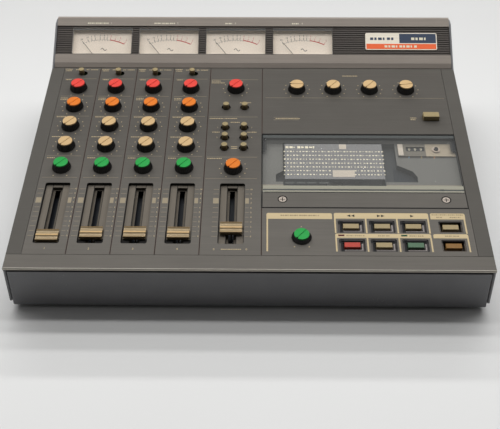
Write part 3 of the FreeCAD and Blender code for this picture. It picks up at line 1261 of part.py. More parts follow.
def quarter_inch_jack(x):
    """Jack body with its threaded bushing, bore and hexagonal nut."""
    y0 = BACK_Y + JACK_BUSHING_REACH - JACK_LENGTH
    inside = BACK_Y - JACK_PLATE_SHEET
    body = block(x - JACK_BODY / 2, x + JACK_BODY / 2, y0 - JACK_PLATE_SHEET, inside,
                 JACK_PLATE_Z - JACK_BODY / 2, JACK_PLATE_Z + JACK_BODY / 2)
    bushing = back_rod(x, JACK_PLATE_Z, inside - 1, BACK_Y + JACK_BUSHING_REACH, JACK_BUSHING)
    bore = back_rod(x, JACK_PLATE_Z, y0, BACK_Y + JACK_BUSHING_REACH + 1, JACK_BORE)
    corners = []
    for i in range(6):
        a = math.radians(60 * i)
        corners.append(Vector(x + JACK_NUT * math.cos(a), BACK_Y, JACK_PLATE_Z + JACK_NUT * math.sin(a)))
    nut = Part.Face(Part.makePolygon(corners + [corners[0]])).extrude(Vector(0, JACK_NUT_HEIGHT, 0))
    hole = back_rod(x, JACK_PLATE_Z, BACK_Y - 1, BACK_Y + JACK_NUT_HEIGHT + 1, JACK_BUSHING)
    return [cut(fuse([body, bushing]), [bore]), cut(nut, [hole])]


def phono_socket(x):
    """Phono socket: insulated seat, metal shell and its centre hole."""
    seat = back_rod(x, JACK_PLATE_Z, BACK_Y - PHONO_SEAT_DEPTH, BACK_Y - JACK_PLATE_SHEET, PHONO_SEAT)
    neck = back_rod(x, JACK_PLATE_Z, BACK_Y - JACK_PLATE_SHEET - 1, BACK_Y, PHONO_SEAT - 1)
    flange = back_rod(x, JACK_PLATE_Z, BACK_Y, BACK_Y + JACK_REACH - PHONO_LENGTH, PHONO_SEAT)
    shell = back_rod(x, JACK_PLATE_Z, BACK_Y, BACK_Y + JACK_REACH, PHONO_RADIUS)
    bore = back_rod(x, JACK_PLATE_Z, BACK_Y - PHONO_DEPTH, BACK_Y + JACK_REACH + 1, PHONO_BORE)
    return cut(fuse([seat, neck, flange, shell]), [bore])


def inlet_block(margin, y0, y1):
    """A box about the inlet's axis, larger than its window by a margin on each side."""
    return block(INLET_X - INLET_WIDTH / 2 - margin, INLET_X + INLET_WIDTH / 2 + margin, y0, y1,
                 JACK_PLATE_Z - INLET_HEIGHT / 2 - margin, JACK_PLATE_Z + INLET_HEIGHT / 2 + margin)


def mains_inlet():
    """Two-pin mains inlet in the back wall, without its lead."""
    floor = BACK_Y - INLET_DEPTH + INLET_FLOOR
    body = inlet_block(-SEAM / 2, BACK_Y - INLET_DEPTH, BACK_Y + 1)
    flange = inlet_block(INLET_WALL, BACK_Y, BACK_Y + JACK_PLATE_SHEET)
    recess = inlet_block(-INLET_WALL, floor, BACK_Y + 2 * JACK_PLATE_SHEET)
    pins = [back_rod(INLET_X + side * INLET_PIN_OFFSET, JACK_PLATE_Z, floor - 1, BACK_Y - 1, INLET_PIN_RADIUS)
            for side in (-1, 1)]
    return fuse([cut(fuse([body, flange]), [recess])] + pins)


def rear_jacks():
    """Jack plate with its jacks and sockets, and the mains inlet."""
    pieces = [jack_plate(), mains_inlet()]
    for x in JACK_XS:
        pieces += quarter_inch_jack(x)
    return pieces + [phono_socket(x) for x in PHONO_XS]


# ---------------------------------------------------------------- electronics

def rotary_pot(x, l):
    """Rotary control under a knob: bushing in the panel's hole and body on the board."""
    body = rod(x, l, -PANEL_SHEET - POT_HEIGHT, -PANEL_SHEET, POT_RADIUS)
    bushing = rod(x, l, -PANEL_SHEET - 1, SEAM / 2, BUSHING_RADIUS)
    bore = rod(x, l, -2 * SHAFT_DEPTH, 1, SHAFT_RADIUS + RUNNING_GAP)
    return cut(fuse([body, bushing]), [bore])


def slide_pot(x):
    """Slide control under a fader: a metal channel with a slot for the stem."""
    top = -SLIDE_POT_TOP
    low = top - SLIDE_POT_DEPTH
    l0 = (FADER_SLOT_START + FADER_SLOT_END - SLIDE_POT_LENGTH) / 2
    shell = block(x - SLIDE_POT_WIDTH / 2, x + SLIDE_POT_WIDTH / 2, l0, l0 + SLIDE_POT_LENGTH, low, top)
    room = block(x - SLIDE_POT_WIDTH / 2 + SLIDE_POT_WALL, x + SLIDE_POT_WIDTH / 2 - SLIDE_POT_WALL,
                 l0 + SLIDE_POT_WALL, l0 + SLIDE_POT_LENGTH - SLIDE_POT_WALL, low + SLIDE_POT_WALL,
                 top - SLIDE_POT_WALL)
    slot_l0 = FADER_STOP_L - FADER_STEM_LENGTH / 2 - 3 * SEAM
    slot = block(x - SLIDE_POT_SLOT / 2, x + SLIDE_POT_SLOT / 2, slot_l0, slot_l0 + SLIDE_POT_SLOT_LENGTH,
                 low + SLIDE_POT_WALL, 1)
    ears = [block(x - SLIDE_POT_WIDTH / 2, x + SLIDE_POT_WIDTH / 2, l, l + SLIDE_POT_EAR, top,
                  -PANEL_SHEET - INSERT_SHEET) for l in (l0, l0 + SLIDE_POT_LENGTH - SLIDE_POT_EAR)]
    return cut(fuse([shell] + ears), [room, slot])


def board_posts(xs, ls, low):
    """Posts that carry a board from the pan's floor."""
    reach = FRONT_HEIGHT + PANEL_RUN
    return [above_floor(on_panel(rod(x, l, low - reach, low, POST_RADIUS))) for x in xs for l in ls]


def mixer_board():
    """Printed board under the rotary controls, on posts from the pan's floor."""
    left = CHANNEL_XS[0] - BOARD_MARGIN
    right = SECTION_X - BOARD_GAP
    top = -PANEL_SHEET - POT_HEIGHT
    low = top - BOARD_SHEET
    front = FADER_WINDOW_START + FADER_WINDOW_LENGTH + 2 * BOARD_GAP
    board = block(left, right, front, PANEL_END - BOARD_GAP / 2, low, top)
    holes = [rod(x, l, low - 1, top + 1, SHAFT_RADIUS + 1) for _, x, l, _ in knob_places() if x < right]
    posts = board_posts((left + POST_INSET, right - POST_INSET), (front + POST_INSET, INPUT_SWITCH_L), low)
    return [on_panel(cut(board, holes))] + posts


def right_board():
    """Printed board under the cue knobs and the noise reduction button, on two posts."""
    top = -PANEL_SHEET - POT_HEIGHT
    low = top - BOARD_SHEET
    left = CUE_XS[0] - 2 * SKIRT_RADIUS
    right = PANEL_EDGE_X - 2 * BOARD_GAP
    front = BAY_END + NR_GAP / 2
    board = block(left, right, front, CUE_L + 2 * SKIRT_RADIUS, low, top)
    holes = [rod(x, CUE_L, low - 1, top + 1, SHAFT_RADIUS + 1) for x in CUE_XS]
    posts = board_posts((left + POST_INSET, right - POST_INSET), (front + POST_INSET,), low)
    return [on_panel(cut(board, holes))] + posts


def key_board():
    """Board with the key switches under the transport keys, and the pitch control's place."""
    top = -DEEP_FLOOR - INSERT_SHEET - SEAM / 2 - KEY_PLUNGER - KEY_BOARD_GAP
    low = top - BOARD_SHEET
    left = SECTION_X + 2 * KEY_BOARD_GAP
    right = PANEL_EDGE_X - KEY_BOARD_GAP
    board = block(left, right, PANEL_START + KEY_BOARD_GAP, BAY_START - KEY_BOARD_GAP, low, top)
    switches = []
    for _, x, l, deep in key_places():
        rise = KEY_BOARD_GAP if deep else KEY_BOARD_GAP + DEEP_FLOOR - PANEL_SHEET
        switches.append(centred_block(x, l, KEY_SWITCH, KEY_SWITCH, top, top + rise - KEY_SWITCH_CLEAR))
    posts = board_posts((left + POST_INSET, right - POST_INSET), (PANEL_START + 2 * POST_RADIUS + SEAM,), low)
    return [on_panel(s) for s in [board] + switches] + posts


def switch_bodies():
    """Bodies of the input switches, the select buttons and the noise reduction switch."""
    top = -PANEL_SHEET
    pieces = []
    for x in CHANNEL_XS:
        middle_x = x + INPUT_SWITCH_TRAVEL / 2
        room_width = 2 * INPUT_SWITCH_RADIUS + INPUT_SWITCH_TRAVEL
        body = centred_block(middle_x, INPUT_SWITCH_L, room_width + 4, 2 * INPUT_SWITCH_RADIUS + 4,
                             top - POT_HEIGHT, top - SEAM)
        room = centred_block(middle_x, INPUT_SWITCH_L, room_width, 2 * INPUT_SWITCH_RADIUS,
                             top - 2 * SWITCH_STEM_REACH, top + 1)
        pieces.append(cut(body, [room]))
    for x, l in select_places():
        pieces.append(centred_block(x, l, SWITCH_BODY, SWITCH_BODY, top - POT_HEIGHT, top))
    nr_top = top - KEY_PLUNGER - NR_TRAVEL - 0.1
    nr = centred_block(NR_X, NR_L, SWITCH_BODY, NR_LENGTH, top - POT_HEIGHT, nr_top)
    return [on_panel(s) for s in pieces + [nr]]


def transformer(y):
    """Mains transformer: laminated core and its winding."""
    low = PAN_FLOOR_Z
    top = low + TRANSFORMER_HEIGHT
    core = centred_block(TRANSFORMER_X, y, TRANSFORMER_WIDTH, CORE_DEPTH, low, top)
    slot_width = (COIL_WIDTH - 2 * CORE_LIMB) / 2
    slot_x = CORE_LIMB + slot_width / 2
    slots = [centred_block(TRANSFORMER_X + side * slot_x, y, slot_width, TRANSFORMER_DEPTH,
                           low + CORE_YOKE, top - CORE_YOKE) for side in (-1, 1)]
    core = cut(core, slots)
    yoke = CORE_YOKE + COIL_CLEAR
    coil = centred_block(TRANSFORMER_X, y, COIL_WIDTH, TRANSFORMER_DEPTH, low + yoke, top - yoke)
    return [core] + cut(coil, [core]).Solids


def supply_board(y):
    """Small board on four legs, with the smoothing capacitors."""
    low = PAN_FLOOR_Z + SUPPLY_BOARD_LIFT
    top = low + BOARD_SHEET
    x1 = TRANSFORMER_X - TRANSFORMER_WIDTH / 2 - SUPPLY_BOARD_GAP
    x0 = x1 - SUPPLY_BOARD_WIDTH
    y0 = y - SUPPLY_BOARD_LENGTH / 2
    y1 = y + SUPPLY_BOARD_LENGTH / 2
    board = block(x0, x1, y0, y1, low, top)
    legs = [rod(x, leg_y, PAN_FLOOR_Z, low, LEG_RADIUS) for x in (x0 + LEG_INSET, x1 - LEG_INSET)
            for leg_y in (y0 + LEG_INSET, y1 - LEG_INSET)]
    first_x = x0 + CAN_RADIUS + LEG_INSET
    cans = [rod(first_x + CAN_PITCH * i, y, top, top + CAN_HEIGHT, CAN_RADIUS) for i in range(CAN_COUNT)]
    return [board] + legs + cans


def power_supply():
    """Mains transformer, and the smoothing capacitors on a small board."""
    y = BACK_Y - TRANSFORMER_BACK_GAP - TRANSFORMER_DEPTH / 2
    return transformer(y) + supply_board(y)


def electronics():
    """All boards, controls and supplies inside the case."""
    pieces = mixer_board() + right_board() + key_board() + switch_bodies() + power_supply()
    pieces += [on_panel(rotary_pot(x, l)) for _, x, l, _ in knob_places()]
    pieces += [on_panel(slide_pot(x)) for x in fader_xs()]
    return pieces


# ---------------------------------------------------------------- nodes

def main():
    """Write every node to its own STEP file."""
    os.makedirs("parts", exist_ok=True)
    export("base_pan", [base_pan()])
    export("feet", feet())
    export("side_cheeks", [cheek(-1), cheek(1)] + case_screws())
    export("control_panel", [control_panel(), front_bar()])
    export("panel_inserts", panel_inserts())
    export("meter_housing", meter_housing())
    export("vu_meters", [solid for x in METER_XS for solid in vu_meter(x)])
    export("deck_moulding", [deck_plate()])
    export("tape_deck", tape_deck())
    export("electronics", electronics())
    export("rear_jacks", rear_jacks())
    export("select_buttons", [select_button(x, l) for x, l in select_places()])
    export("lid_frame", lid_frame())
    export("lid_window", [lid_window()])
    export("counter_reset", [counter_reset()])
    export("nr_switch", [nr_switch()])
    for name, x, lift in zip(CHANNEL_NAMES, CHANNEL_XS, FADER_LIFTS):
        export("input_switch_" + name, [input_switch(x)])
        export("fader_" + name, fader_knob(x, FADER_STOP_L + lift))
    export("fader_master", fader_knob(MASTER_X, FADER_STOP_L + MASTER_FADER_LIFT))
    for name, x, l, deep in key_places():
        export(name, [transport_key(x, l, deep)])
    knob = rotary_knob(SKIRT_HEIGHT)
    low_knob = rotary_knob(PITCH_SKIRT_HEIGHT)
    for name, x, l, angle in knob_places():
        pieces = low_knob if name == "knob_pitch" else knob
        export(name, placed_knob(pieces, x, l, angle))


main()
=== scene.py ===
"""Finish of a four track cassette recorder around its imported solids.

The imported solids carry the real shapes. This script gives each one its finish, builds the meters with their
printed dials, and adds what is too thin for solids: screen-printed marks, the sheet behind the window and the
counter's figures.

Lengths are in millimetres in two sloping frames: x runs across, up runs up the slope and h stands out of the
face. MM turns them into the metres of the shared frame.
"""
import itertools
import logging
import math
from collections.abc import Iterable, Sequence
from dataclasses import dataclass
from enum import Enum

import bmesh
import bpy
from mathutils import Matrix, Vector


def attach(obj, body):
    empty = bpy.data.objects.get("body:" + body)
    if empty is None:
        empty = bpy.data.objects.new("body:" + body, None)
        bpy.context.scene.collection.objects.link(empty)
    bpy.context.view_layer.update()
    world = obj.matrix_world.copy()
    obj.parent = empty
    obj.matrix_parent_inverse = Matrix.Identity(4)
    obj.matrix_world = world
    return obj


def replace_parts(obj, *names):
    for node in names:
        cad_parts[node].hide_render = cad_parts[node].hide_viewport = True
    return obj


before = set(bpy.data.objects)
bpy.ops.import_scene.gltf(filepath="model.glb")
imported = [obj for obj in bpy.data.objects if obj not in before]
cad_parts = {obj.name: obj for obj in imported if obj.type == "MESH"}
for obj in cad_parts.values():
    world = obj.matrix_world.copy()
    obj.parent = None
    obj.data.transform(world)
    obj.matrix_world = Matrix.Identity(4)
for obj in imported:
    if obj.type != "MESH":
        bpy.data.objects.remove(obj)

LOG = logging.getLogger("recorder")
MM = 0.001
# A length that no part of the recorder reaches: the open end of a region.
FAR = 1000.0
# Thickness that prints are drawn with. A real layer of screen ink is about 0.02 mm thick.
INK = 0.05
# The four channels, by the letters that end their nodes' names.
CHANNELS = "abcd"

Point = tuple[float, float]
Span = tuple[float, float]
Patch = tuple[Span, Span]
Size = tuple[float, float, float]
Row = tuple[float, float, int]


class Body(Enum):
    """Bodies of the motion model that the scene's own pieces ride on."""

    CHASSIS = "chassis"
    LID = "cassette_lid"


class Slot(Enum):
    """Material slots of the record, which the scene's own pieces are passed along with their finishes."""

    METER_PLASTIC = "meter_plastic"
    WINDOW_ACRYLIC = "window_acrylic"
    TAN_PLASTIC = "tan_plastic"
    BLACK_PLASTIC = "black_plastic"


# ---------------------------------------------------------------- sloping faces


@dataclass(frozen=True)
class SlopedFace:
    """A flat face that rises towards the back.

    Attributes:
        y: Where the face starts, in millimetres of the shared frame.
        z: Height of that start.
        slope: Angle above level, in degrees.
    """

    y: float
    z: float
    slope: float

    def point(self, x: float, up: float, h: float = 0.0) -> Vector:
        """Find a point that is drawn on the face.

        Args:
            x: Distance across.
            up: Distance up the slope.
            h: Height out of the face.

        Returns:
            The point in the shared frame, in metres.
        """
        angle = math.radians(self.slope)
        y = self.y + up * math.cos(angle) - h * math.sin(angle)
        z = self.z + up * math.sin(angle) + h * math.cos(angle)
        return Vector((x, y, z)) * MM

    def matrix(self, x: float, up: float, h: float) -> Matrix:
        """Placement of something drawn flat about its own origin, in metres."""
        return Matrix.Translation(self.point(x, up, h)) @ Matrix.Rotation(math.radians(self.slope), 4, "X")


PANEL = SlopedFace(y=-185.0, z=53.6, slope=6.0)
PANEL_RUN = 302.1
BRIDGE_START = PANEL.point(0.0, PANEL_RUN) / MM
BRIDGE = SlopedFace(y=BRIDGE_START.y, z=BRIDGE_START.z, slope=32.5)
LEVEL = SlopedFace(y=0.0, z=0.0, slope=0.0)

# ---------------------------------------------------------------- finishes

# Sockets of a mix node that is set to colours.
MIX_FACTOR, MIX_A, MIX_B, MIX_RESULT = 0, 6, 7, 2
# Most of a noise pattern's values lie between these two.
NOISE_LOW, NOISE_HIGH = 0.25, 0.75


Colour = tuple[float, float, float, float]
Value = bpy.types.NodeSocket | Colour | float


def linear(colour: str) -> Colour:
    """Turn an sRGB hex colour into the linear values that shaders use.

    Args:
        colour: Six hex digits after a hash.

    Returns:
        Red, green, blue and an alpha of 1.
    """
    channels = [int(colour[i:i + 2], 16) / 255 for i in (1, 3, 5)]
    red, green, blue = (c / 12.92 if c <= 0.04045 else ((c + 0.055) / 1.055) ** 2.4 for c in channels)
    return red, green, blue, 1.0


def add_node(tree: bpy.types.NodeTree, kind: str, settings: dict | None = None,
             inputs: dict | None = None) -> bpy.types.Node:
    """Add one shader node.

    Args:
        tree: Node tree of the material.
        kind: Blender's name of the node type.
        settings: Properties of the node.
        inputs: Values or output sockets for the node's inputs, by name or number.

    Returns:
        The new node.
    """
    node = tree.nodes.new(kind)
    for name, value in (settings or {}).items():
        setattr(node, name, value)
    for key, value in (inputs or {}).items():
        if isinstance(value, bpy.types.NodeSocket):
            tree.links.new(value, node.inputs[key])
        else:
            node.inputs[key].default_value = value
    return node


@dataclass(frozen=True)
class Grain:
    """A repeating unevenness of a surface.

    Attributes:
        size: Millimetres of one repeat along x, y and z.
        contrast: Share by which it lightens and darkens the colour.
        relief: Height of its bumps in millimetres.
        polish: How much it changes the roughness.
        detail: Octaves of finer grain inside each repeat.
        fineness: Strength of each octave against the one before.
    """

    size: Size
    contrast: float
    relief: float = 0.0
    polish: float = 0.0
    detail: float = 2.0
    fineness: float = 0.55

    def pattern(self, tree: bpy.types.NodeTree) -> bpy.types.NodeSocket:
        """Add noise at the grain's real scale.

        Args:
            tree: Node tree of the material.

        Returns:
            A socket that runs from 0 to 1.
        """
        place = add_node(tree, "ShaderNodeTexCoord")
        repeats = add_node(tree, "ShaderNodeMapping", {"vector_type": "POINT"}, {
            "Vector": place.outputs["Object"], "Scale": tuple(1 / (s * MM) for s in self.size)})
        noise = add_node(tree, "ShaderNodeTexNoise", {"noise_dimensions": "3D"}, {
            "Vector": repeats.outputs["Vector"], "Scale": 1.0, "Detail": self.detail,
            "Roughness": self.fineness})
        return noise.outputs["Fac"]


@dataclass(frozen=True)
class Zone:
    """A box-shaped region of a sloping face that has its own colour.

    Attributes:
        colour: sRGB hex colour.
        x, up, h: Spans of the region in the face's frame.
        roughness: Roughness inside the region.
        metallic: 1 for bare metal.
        face: The sloping face that the spans are drawn on.
    """

    colour: str
    x: Span = (-FAR, FAR)
    up: Span = (-FAR, FAR)
    h: Span = (-FAR, FAR)
    roughness: float = 0.5
    metallic: float = 0.0
    face: SlopedFace = PANEL

    def place(self, tree: bpy.types.NodeTree) -> bpy.types.Node:
        """Add the surface's place in the face's frame.

        Args:
            tree: Node tree of the material.

        Returns:
            A node whose outputs X, Y and Z are x, up and h, in metres.
        """
        origin = self.face.point(0.0, 0.0)
        place = add_node(tree, "ShaderNodeTexCoord")
        turned = add_node(tree, "ShaderNodeMapping", {"vector_type": "TEXTURE"}, {
            "Vector": place.outputs["Object"], "Location": tuple(origin),
            "Rotation": (math.radians(self.face.slope), 0.0, 0.0)})
        return add_node(tree, "ShaderNodeSeparateXYZ", inputs={"Vector": turned.outputs["Vector"]})

    def mask(self, tree: bpy.types.NodeTree) -> bpy.types.NodeSocket:
        """Add the region's mask.

        Args:
            tree: Node tree of the material.

        Returns:
            A socket that is 1 inside the region and 0 outside it.
        """
        axes = self.place(tree)
        inside = None
        for axis, (low, high) in zip("XYZ", (self.x, self.up, self.h)):
            if high - low >= 2 * FAR:
                continue
            near = add_node(tree, "ShaderNodeMath", {"operation": "COMPARE"}, {
                0: axes.outputs[axis], 1: (low + high) / 2 * MM, 2: (high - low) / 2 * MM}).outputs["Value"]
            inside = near if inside is None else add_node(
                tree, "ShaderNodeMath", {"operation": "MULTIPLY"}, {0: inside, 1: near}).outputs["Value"]
        return inside


@dataclass(frozen=True)
class RoundZone(Zone):
    """A round region, at any height.

    Attributes:
        centre: Middle of the region in the face's frame.
        radius: Its radius.
    """

    centre: Point = (0.0, 0.0)
    radius: float = 1.0

    def mask(self, tree: bpy.types.NodeTree) -> bpy.types.NodeSocket:
        """Add the round region's mask.

        Args:
            tree: Node tree of the material.

        Returns:
            A socket that is 1 inside the region and 0 outside it.
        """
        axes = self.place(tree)
        flat = add_node(tree, "ShaderNodeCombineXYZ", inputs={
            "X": axes.outputs["X"], "Y": axes.outputs["Y"]})
        away = add_node(tree, "ShaderNodeVectorMath", {"operation": "DISTANCE"}, {
            0: flat.outputs["Vector"], 1: (self.centre[0] * MM, self.centre[1] * MM, 0.0)})
        return add_node(tree, "ShaderNodeMath", {"operation": "LESS_THAN"}, {
            0: away.outputs["Value"], 1: self.radius * MM}).outputs["Value"]


@dataclass(frozen=True)
class Finish:
    """What a surface is made of and how it was made.

    Attributes:
        name: Common name of the material.
        colour: sRGB hex colour.
        roughness: Roughness of the surface.
        metallic: 1 for bare metal.
        ior: Refractive index; a metal keeps the default.
        grains: Unevenness, finest first.
        zones: Regions with another colour, later ones over earlier ones.
        fade: Where along y, in metres, the colour starts and stops to fade, and the share that is left.
    """

    name: str
    colour: str
    roughness: float
    metallic: float = 0.0
    ior: float = 1.5
    grains: tuple[Grain, ...] = ()
    zones: tuple[Zone, ...] = ()
    fade: tuple[float, float, float] | None = None

    def material(self) -> bpy.types.Material:
        """Make the material, or find it where it is made already.

        Returns:
            The material.
        """
        if self.name in bpy.data.materials:
            return bpy.data.materials[self.name]
        material = bpy.data.materials.new(self.name)
        material.use_nodes = True
        tree = material.node_tree
        tree.nodes.clear()
        shader = add_node(tree, "ShaderNodeBsdfPrincipled", inputs={
            "Base Color": linear(self.colour), "Roughness": self.roughness, "Metallic": self.metallic,
            "IOR": self.ior})
        self.colour_in(tree, shader)
        add_node(tree, "ShaderNodeOutputMaterial", inputs={"Surface": self.surface(tree, shader)})
        return material

    def add_zones(self, tree: bpy.types.NodeTree, shader: bpy.types.Node) -> tuple[Value, Value]:
        """Lay the zones over the colour, roughness and metallic, and link the last of these.

        Args:
            tree: Node tree of the material.
            shader: The material's Principled node.

        Returns:
            Colour and roughness, as sockets, or as plain values where there are no zones.
        """
        colour, rough, metal = linear(self.colour), self.roughness, self.metallic
        bare = any(z.metallic != self.metallic for z in self.zones)
        for zone in self.zones:
            mask = zone.mask(tree)
            colour = add_node(tree, "ShaderNodeMix", {"data_type": "RGBA"}, {
                MIX_FACTOR: mask, MIX_A: colour, MIX_B: linear(zone.colour)}).outputs[MIX_RESULT]
            rough = add_node(tree, "ShaderNodeMix", {"data_type": "FLOAT"}, {
                "Factor": mask, "A": rough, "B": zone.roughness}).outputs["Result"]
            if bare:
                metal = add_node(tree, "ShaderNodeMix", {"data_type": "FLOAT"}, {
                    "Factor": mask, "A": metal, "B": zone.metallic}).outputs["Result"]
        if bare:
            tree.links.new(metal, shader.inputs["Metallic"])
        return colour, rough

    def colour_in(self, tree: bpy.types.NodeTree, shader: bpy.types.Node) -> None:
        """Link zones, grains and fade to the shader's colour, roughness and normal.

        Args:
            tree: Node tree of the material.
            shader: The material's Principled node.
        """
        colour, rough = self.add_zones(tree, shader)
        for grain in self.grains:
            pattern = grain.pattern(tree)
            tint = add_node(tree, "ShaderNodeMapRange", inputs={
                "Value": pattern, "From Min": NOISE_LOW, "From Max": NOISE_HIGH,
                "To Min": 1 - grain.contrast, "To Max": 1 + grain.contrast}).outputs["Result"]
            colour = add_node(tree, "ShaderNodeVectorMath", {"operation": "SCALE"}, {
                0: colour[:3] if isinstance(colour, tuple) else colour, "Scale": tint}).outputs["Vector"]
            if grain.polish:
                rough = add_node(tree, "ShaderNodeMath", {"operation": "MULTIPLY_ADD"}, {
                    0: pattern, 1: grain.polish, 2: rough}).outputs["Value"]
            if grain.relief:
                bump = add_node(tree, "ShaderNodeBump", inputs={
                    "Strength": 1.0, "Distance": grain.relief * MM, "Height": pattern})
                if shader.inputs["Normal"].is_linked:
                    tree.links.new(shader.inputs["Normal"].links[0].from_socket, bump.inputs["Normal"])
                tree.links.new(bump.outputs["Normal"], shader.inputs["Normal"])
        if self.fade:
            place = add_node(tree, "ShaderNodeTexCoord")
            axes = add_node(tree, "ShaderNodeSeparateXYZ", inputs={"Vector": place.outputs["Object"]})
            share = add_node(tree, "ShaderNodeMapRange", {"interpolation_type": "SMOOTHSTEP"}, {
                "Value": axes.outputs["Y"], "From Min": self.fade[0], "From Max": self.fade[1],
                "To Min": 1.0, "To Max": self.fade[2]})
            colour = add_node(tree, "ShaderNodeVectorMath", {"operation": "SCALE"}, {
                0: colour, "Scale": share.outputs["Result"]}).outputs["Vector"]
        if self.grains or self.zones:
            tree.links.new(colour, shader.inputs["Base Color"])
        if self.zones or any(g.polish for g in self.grains):
            tree.links.new(rough, shader.inputs["Roughness"])

    def surface(self, tree: bpy.types.NodeTree, shader: bpy.types.Node) -> bpy.types.NodeSocket:
        """What the material shows: the shader itself."""
        return shader.outputs["BSDF"]

    def coat_node(self, *names: str) -> None:
        """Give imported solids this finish.

        Args:
            names: Names of their nodes.
        """
        for name in names:
            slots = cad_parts[name].data.materials
            slots.clear()
            slots.append(self.material())


@dataclass(frozen=True)
class ClearFinish(Finish):
    """A see-through finish that lets the lamps reach what is behind it.

    Attributes:
        haze: Share of the surface that scatters light like a milky film.
        passed: Share of red, green and blue that it lets through.
        gloss: Roughness of its mirror-like skin.
    """

    haze: float = 0.1
    passed: Colour = (0.985, 0.98, 0.975, 1.0)
    gloss: float = 0.05

    def surface(self, tree: bpy.types.NodeTree, shader: bpy.types.Node) -> bpy.types.NodeSocket:
        """Add a clear pane with a slight haze under a mirror-like gloss.

        Args:
            tree: Node tree of the material.
            shader: The material's Principled node, which colours the haze.

        Returns:
            The pane's shader.
        """
        clear = add_node(tree, "ShaderNodeBsdfTransparent", inputs={"Color": self.passed})
        hazy = add_node(tree, "ShaderNodeMixShader", inputs={
            0: self.haze, 1: clear.outputs["BSDF"], 2: shader.outputs["BSDF"]})
        mirror = add_node(tree, "ShaderNodeBsdfGlossy", inputs={
            "Color": (1.0, 1.0, 1.0, 1.0), "Roughness": self.gloss})
        edge = add_node(tree, "ShaderNodeFresnel", inputs={"IOR": self.ior})
        side = add_node(tree, "ShaderNodeNewGeometry")
        outer = add_node(tree, "ShaderNodeMath", {"operation": "SUBTRACT", "use_clamp": True}, {
            0: edge.outputs["Fac"], 1: side.outputs["Backfacing"]})
        pane = add_node(tree, "ShaderNodeMixShader", inputs={
            0: outer.outputs["Value"], 1: hazy.outputs["Shader"], 2: mirror.outputs["BSDF"]})
        return pane.outputs["Shader"]


# Surfaces of real parts and what they give the eye. Real grain that is finer than a tenth of a millimetre is
# drawn about half a millimetre wide, so that it still shows at arm's length.

# Hairlines of a brushed sheet, 0.2 mm apart on the real one: fine streaks along the recorder's width.
HAIRLINES = Grain((45.0, 0.7, 0.7), contrast=0.07, relief=0.006, polish=0.12)
# The same hairlines along a plate that was brushed up the slope.
LENGTHWISE = Grain((0.7, 45.0, 45.0), contrast=0.08, relief=0.006, polish=0.12)
# Heavier strokes of the same brushing.
STROKES = Grain((90.0, 2.6, 2.6), contrast=0.045)
# Hands and dust: broad faint clouds.
CLOUDS = Grain((38.0, 30.0, 30.0), contrast=0.05, polish=0.06)
# Spark-eroded mould texture, 0.1 mm pits on the real one.
MOULD_TEXTURE = Grain((0.55, 0.55, 0.55), contrast=0.05, relief=0.02, polish=0.08)
# Sprayed enamel: soft orange peel with 1.5 mm waves.
ORANGE_PEEL = Grain((1.5, 1.5, 1.5), contrast=0.02, relief=0.008, polish=0.05)
# Flow and colour drift in a moulding.
MOULD_DRIFT = Grain((9.0, 9.0, 9.0), contrast=0.05)
# Fibre of card or a screened ink layer.
FIBRE = Grain((0.8, 0.5, 0.8), contrast=0.05)
BRUSHED = (HAIRLINES, STROKES, CLOUDS)
MOULDED = (MOULD_TEXTURE, MOULD_DRIFT)
ABS_IOR = 1.53
ACRYLIC_IOR = 1.49

COLOURS = {
    # Metal and enamel.
    "panel": "#67635d", "bridge": "#978e85", "band": "#5b5550", "enamel": "#6b6b6d", "nickel": "#c9c4ba",
    "steel": "#9c9c98",
    # Knob caps, the bottoms of their slots painted darker as painted shade, and fader caps.
    "cap_tan": "#bd9f72", "cap_red": "#cf3b31", "cap_orange": "#cd6d14", "cap_green": "#13913c",
    "slot_tan": "#94784f", "slot_red": "#b52f2a", "slot_orange": "#b85e14", "slot_green": "#147a38",
    "fader_tan": "#a08d6e",
    # Keys and buttons.
    "key_tan": "#948462", "key_red": "#a53b2f", "key_green": "#4a664f", "key_brown": "#7a5828",
    "button_tan": "#8d7e5b",
    # Inks and the badge.
    "ink": "#baa884", "cream": "#f1e8d6", "navy": "#39455a", "flame": "#f56d3c",
    # Mouldings and shadowed edges.
    "black": "#111113", "shadow": "#1b1917", "deck": "#696965", "beige": "#a39884",
}

# Heights of a knob's skirt above the panel, of its cap above the skirt, and the depth of the cap's slot.
KNOB_HEIGHT = 6.7
LOW_KNOB_HEIGHT = 4.0
CAP_HEIGHT = 1.4
CAP_SLOT = 0.4


def knob_finish(name: str, kind: str, height: float = KNOB_HEIGHT) -> Finish:
    """Black ABS skirt with a coloured ABS cap pressed on it, its slot's floor painted darker as painted
    shade.

    Args:
        name: Name of the finish.
        kind: Which of the cap and slot colours it has.
        height: Height of the skirt that carries the cap.

    Returns:
        The finish of a whole knob.
    """
    slot = height + CAP_HEIGHT - CAP_SLOT
    return Finish(name, COLOURS["black"], 0.3, ior=ABS_IOR, grains=MOULDED, zones=(
        Zone(COLOURS[f"cap_{kind}"], h=(height + 0.02, height + CAP_HEIGHT + 0.1), roughness=0.42),
        # Painted shade on the floor of the cap's slot.
        Zone(COLOURS[f"slot_{kind}"], h=(slot - 0.06, slot + 0.06), roughness=0.6),
        Zone(COLOURS["steel"], h=(-20.0, 0.45), roughness=0.3, metallic=1.0)))


def plastic(name: str, colour: str, roughness: float = 0.45) -> Finish:
    """Moulded ABS with a spark-eroded skin: an even colour that breaks the light softly."""
    return Finish(name, colour, roughness, ior=ABS_IOR, grains=MOULDED)


def ink(name: str, colour: str) -> Finish:
    """Screen-printed ink: a matt, slightly uneven layer."""
    return Finish(name, colour, 0.6, grains=(FIBRE,))
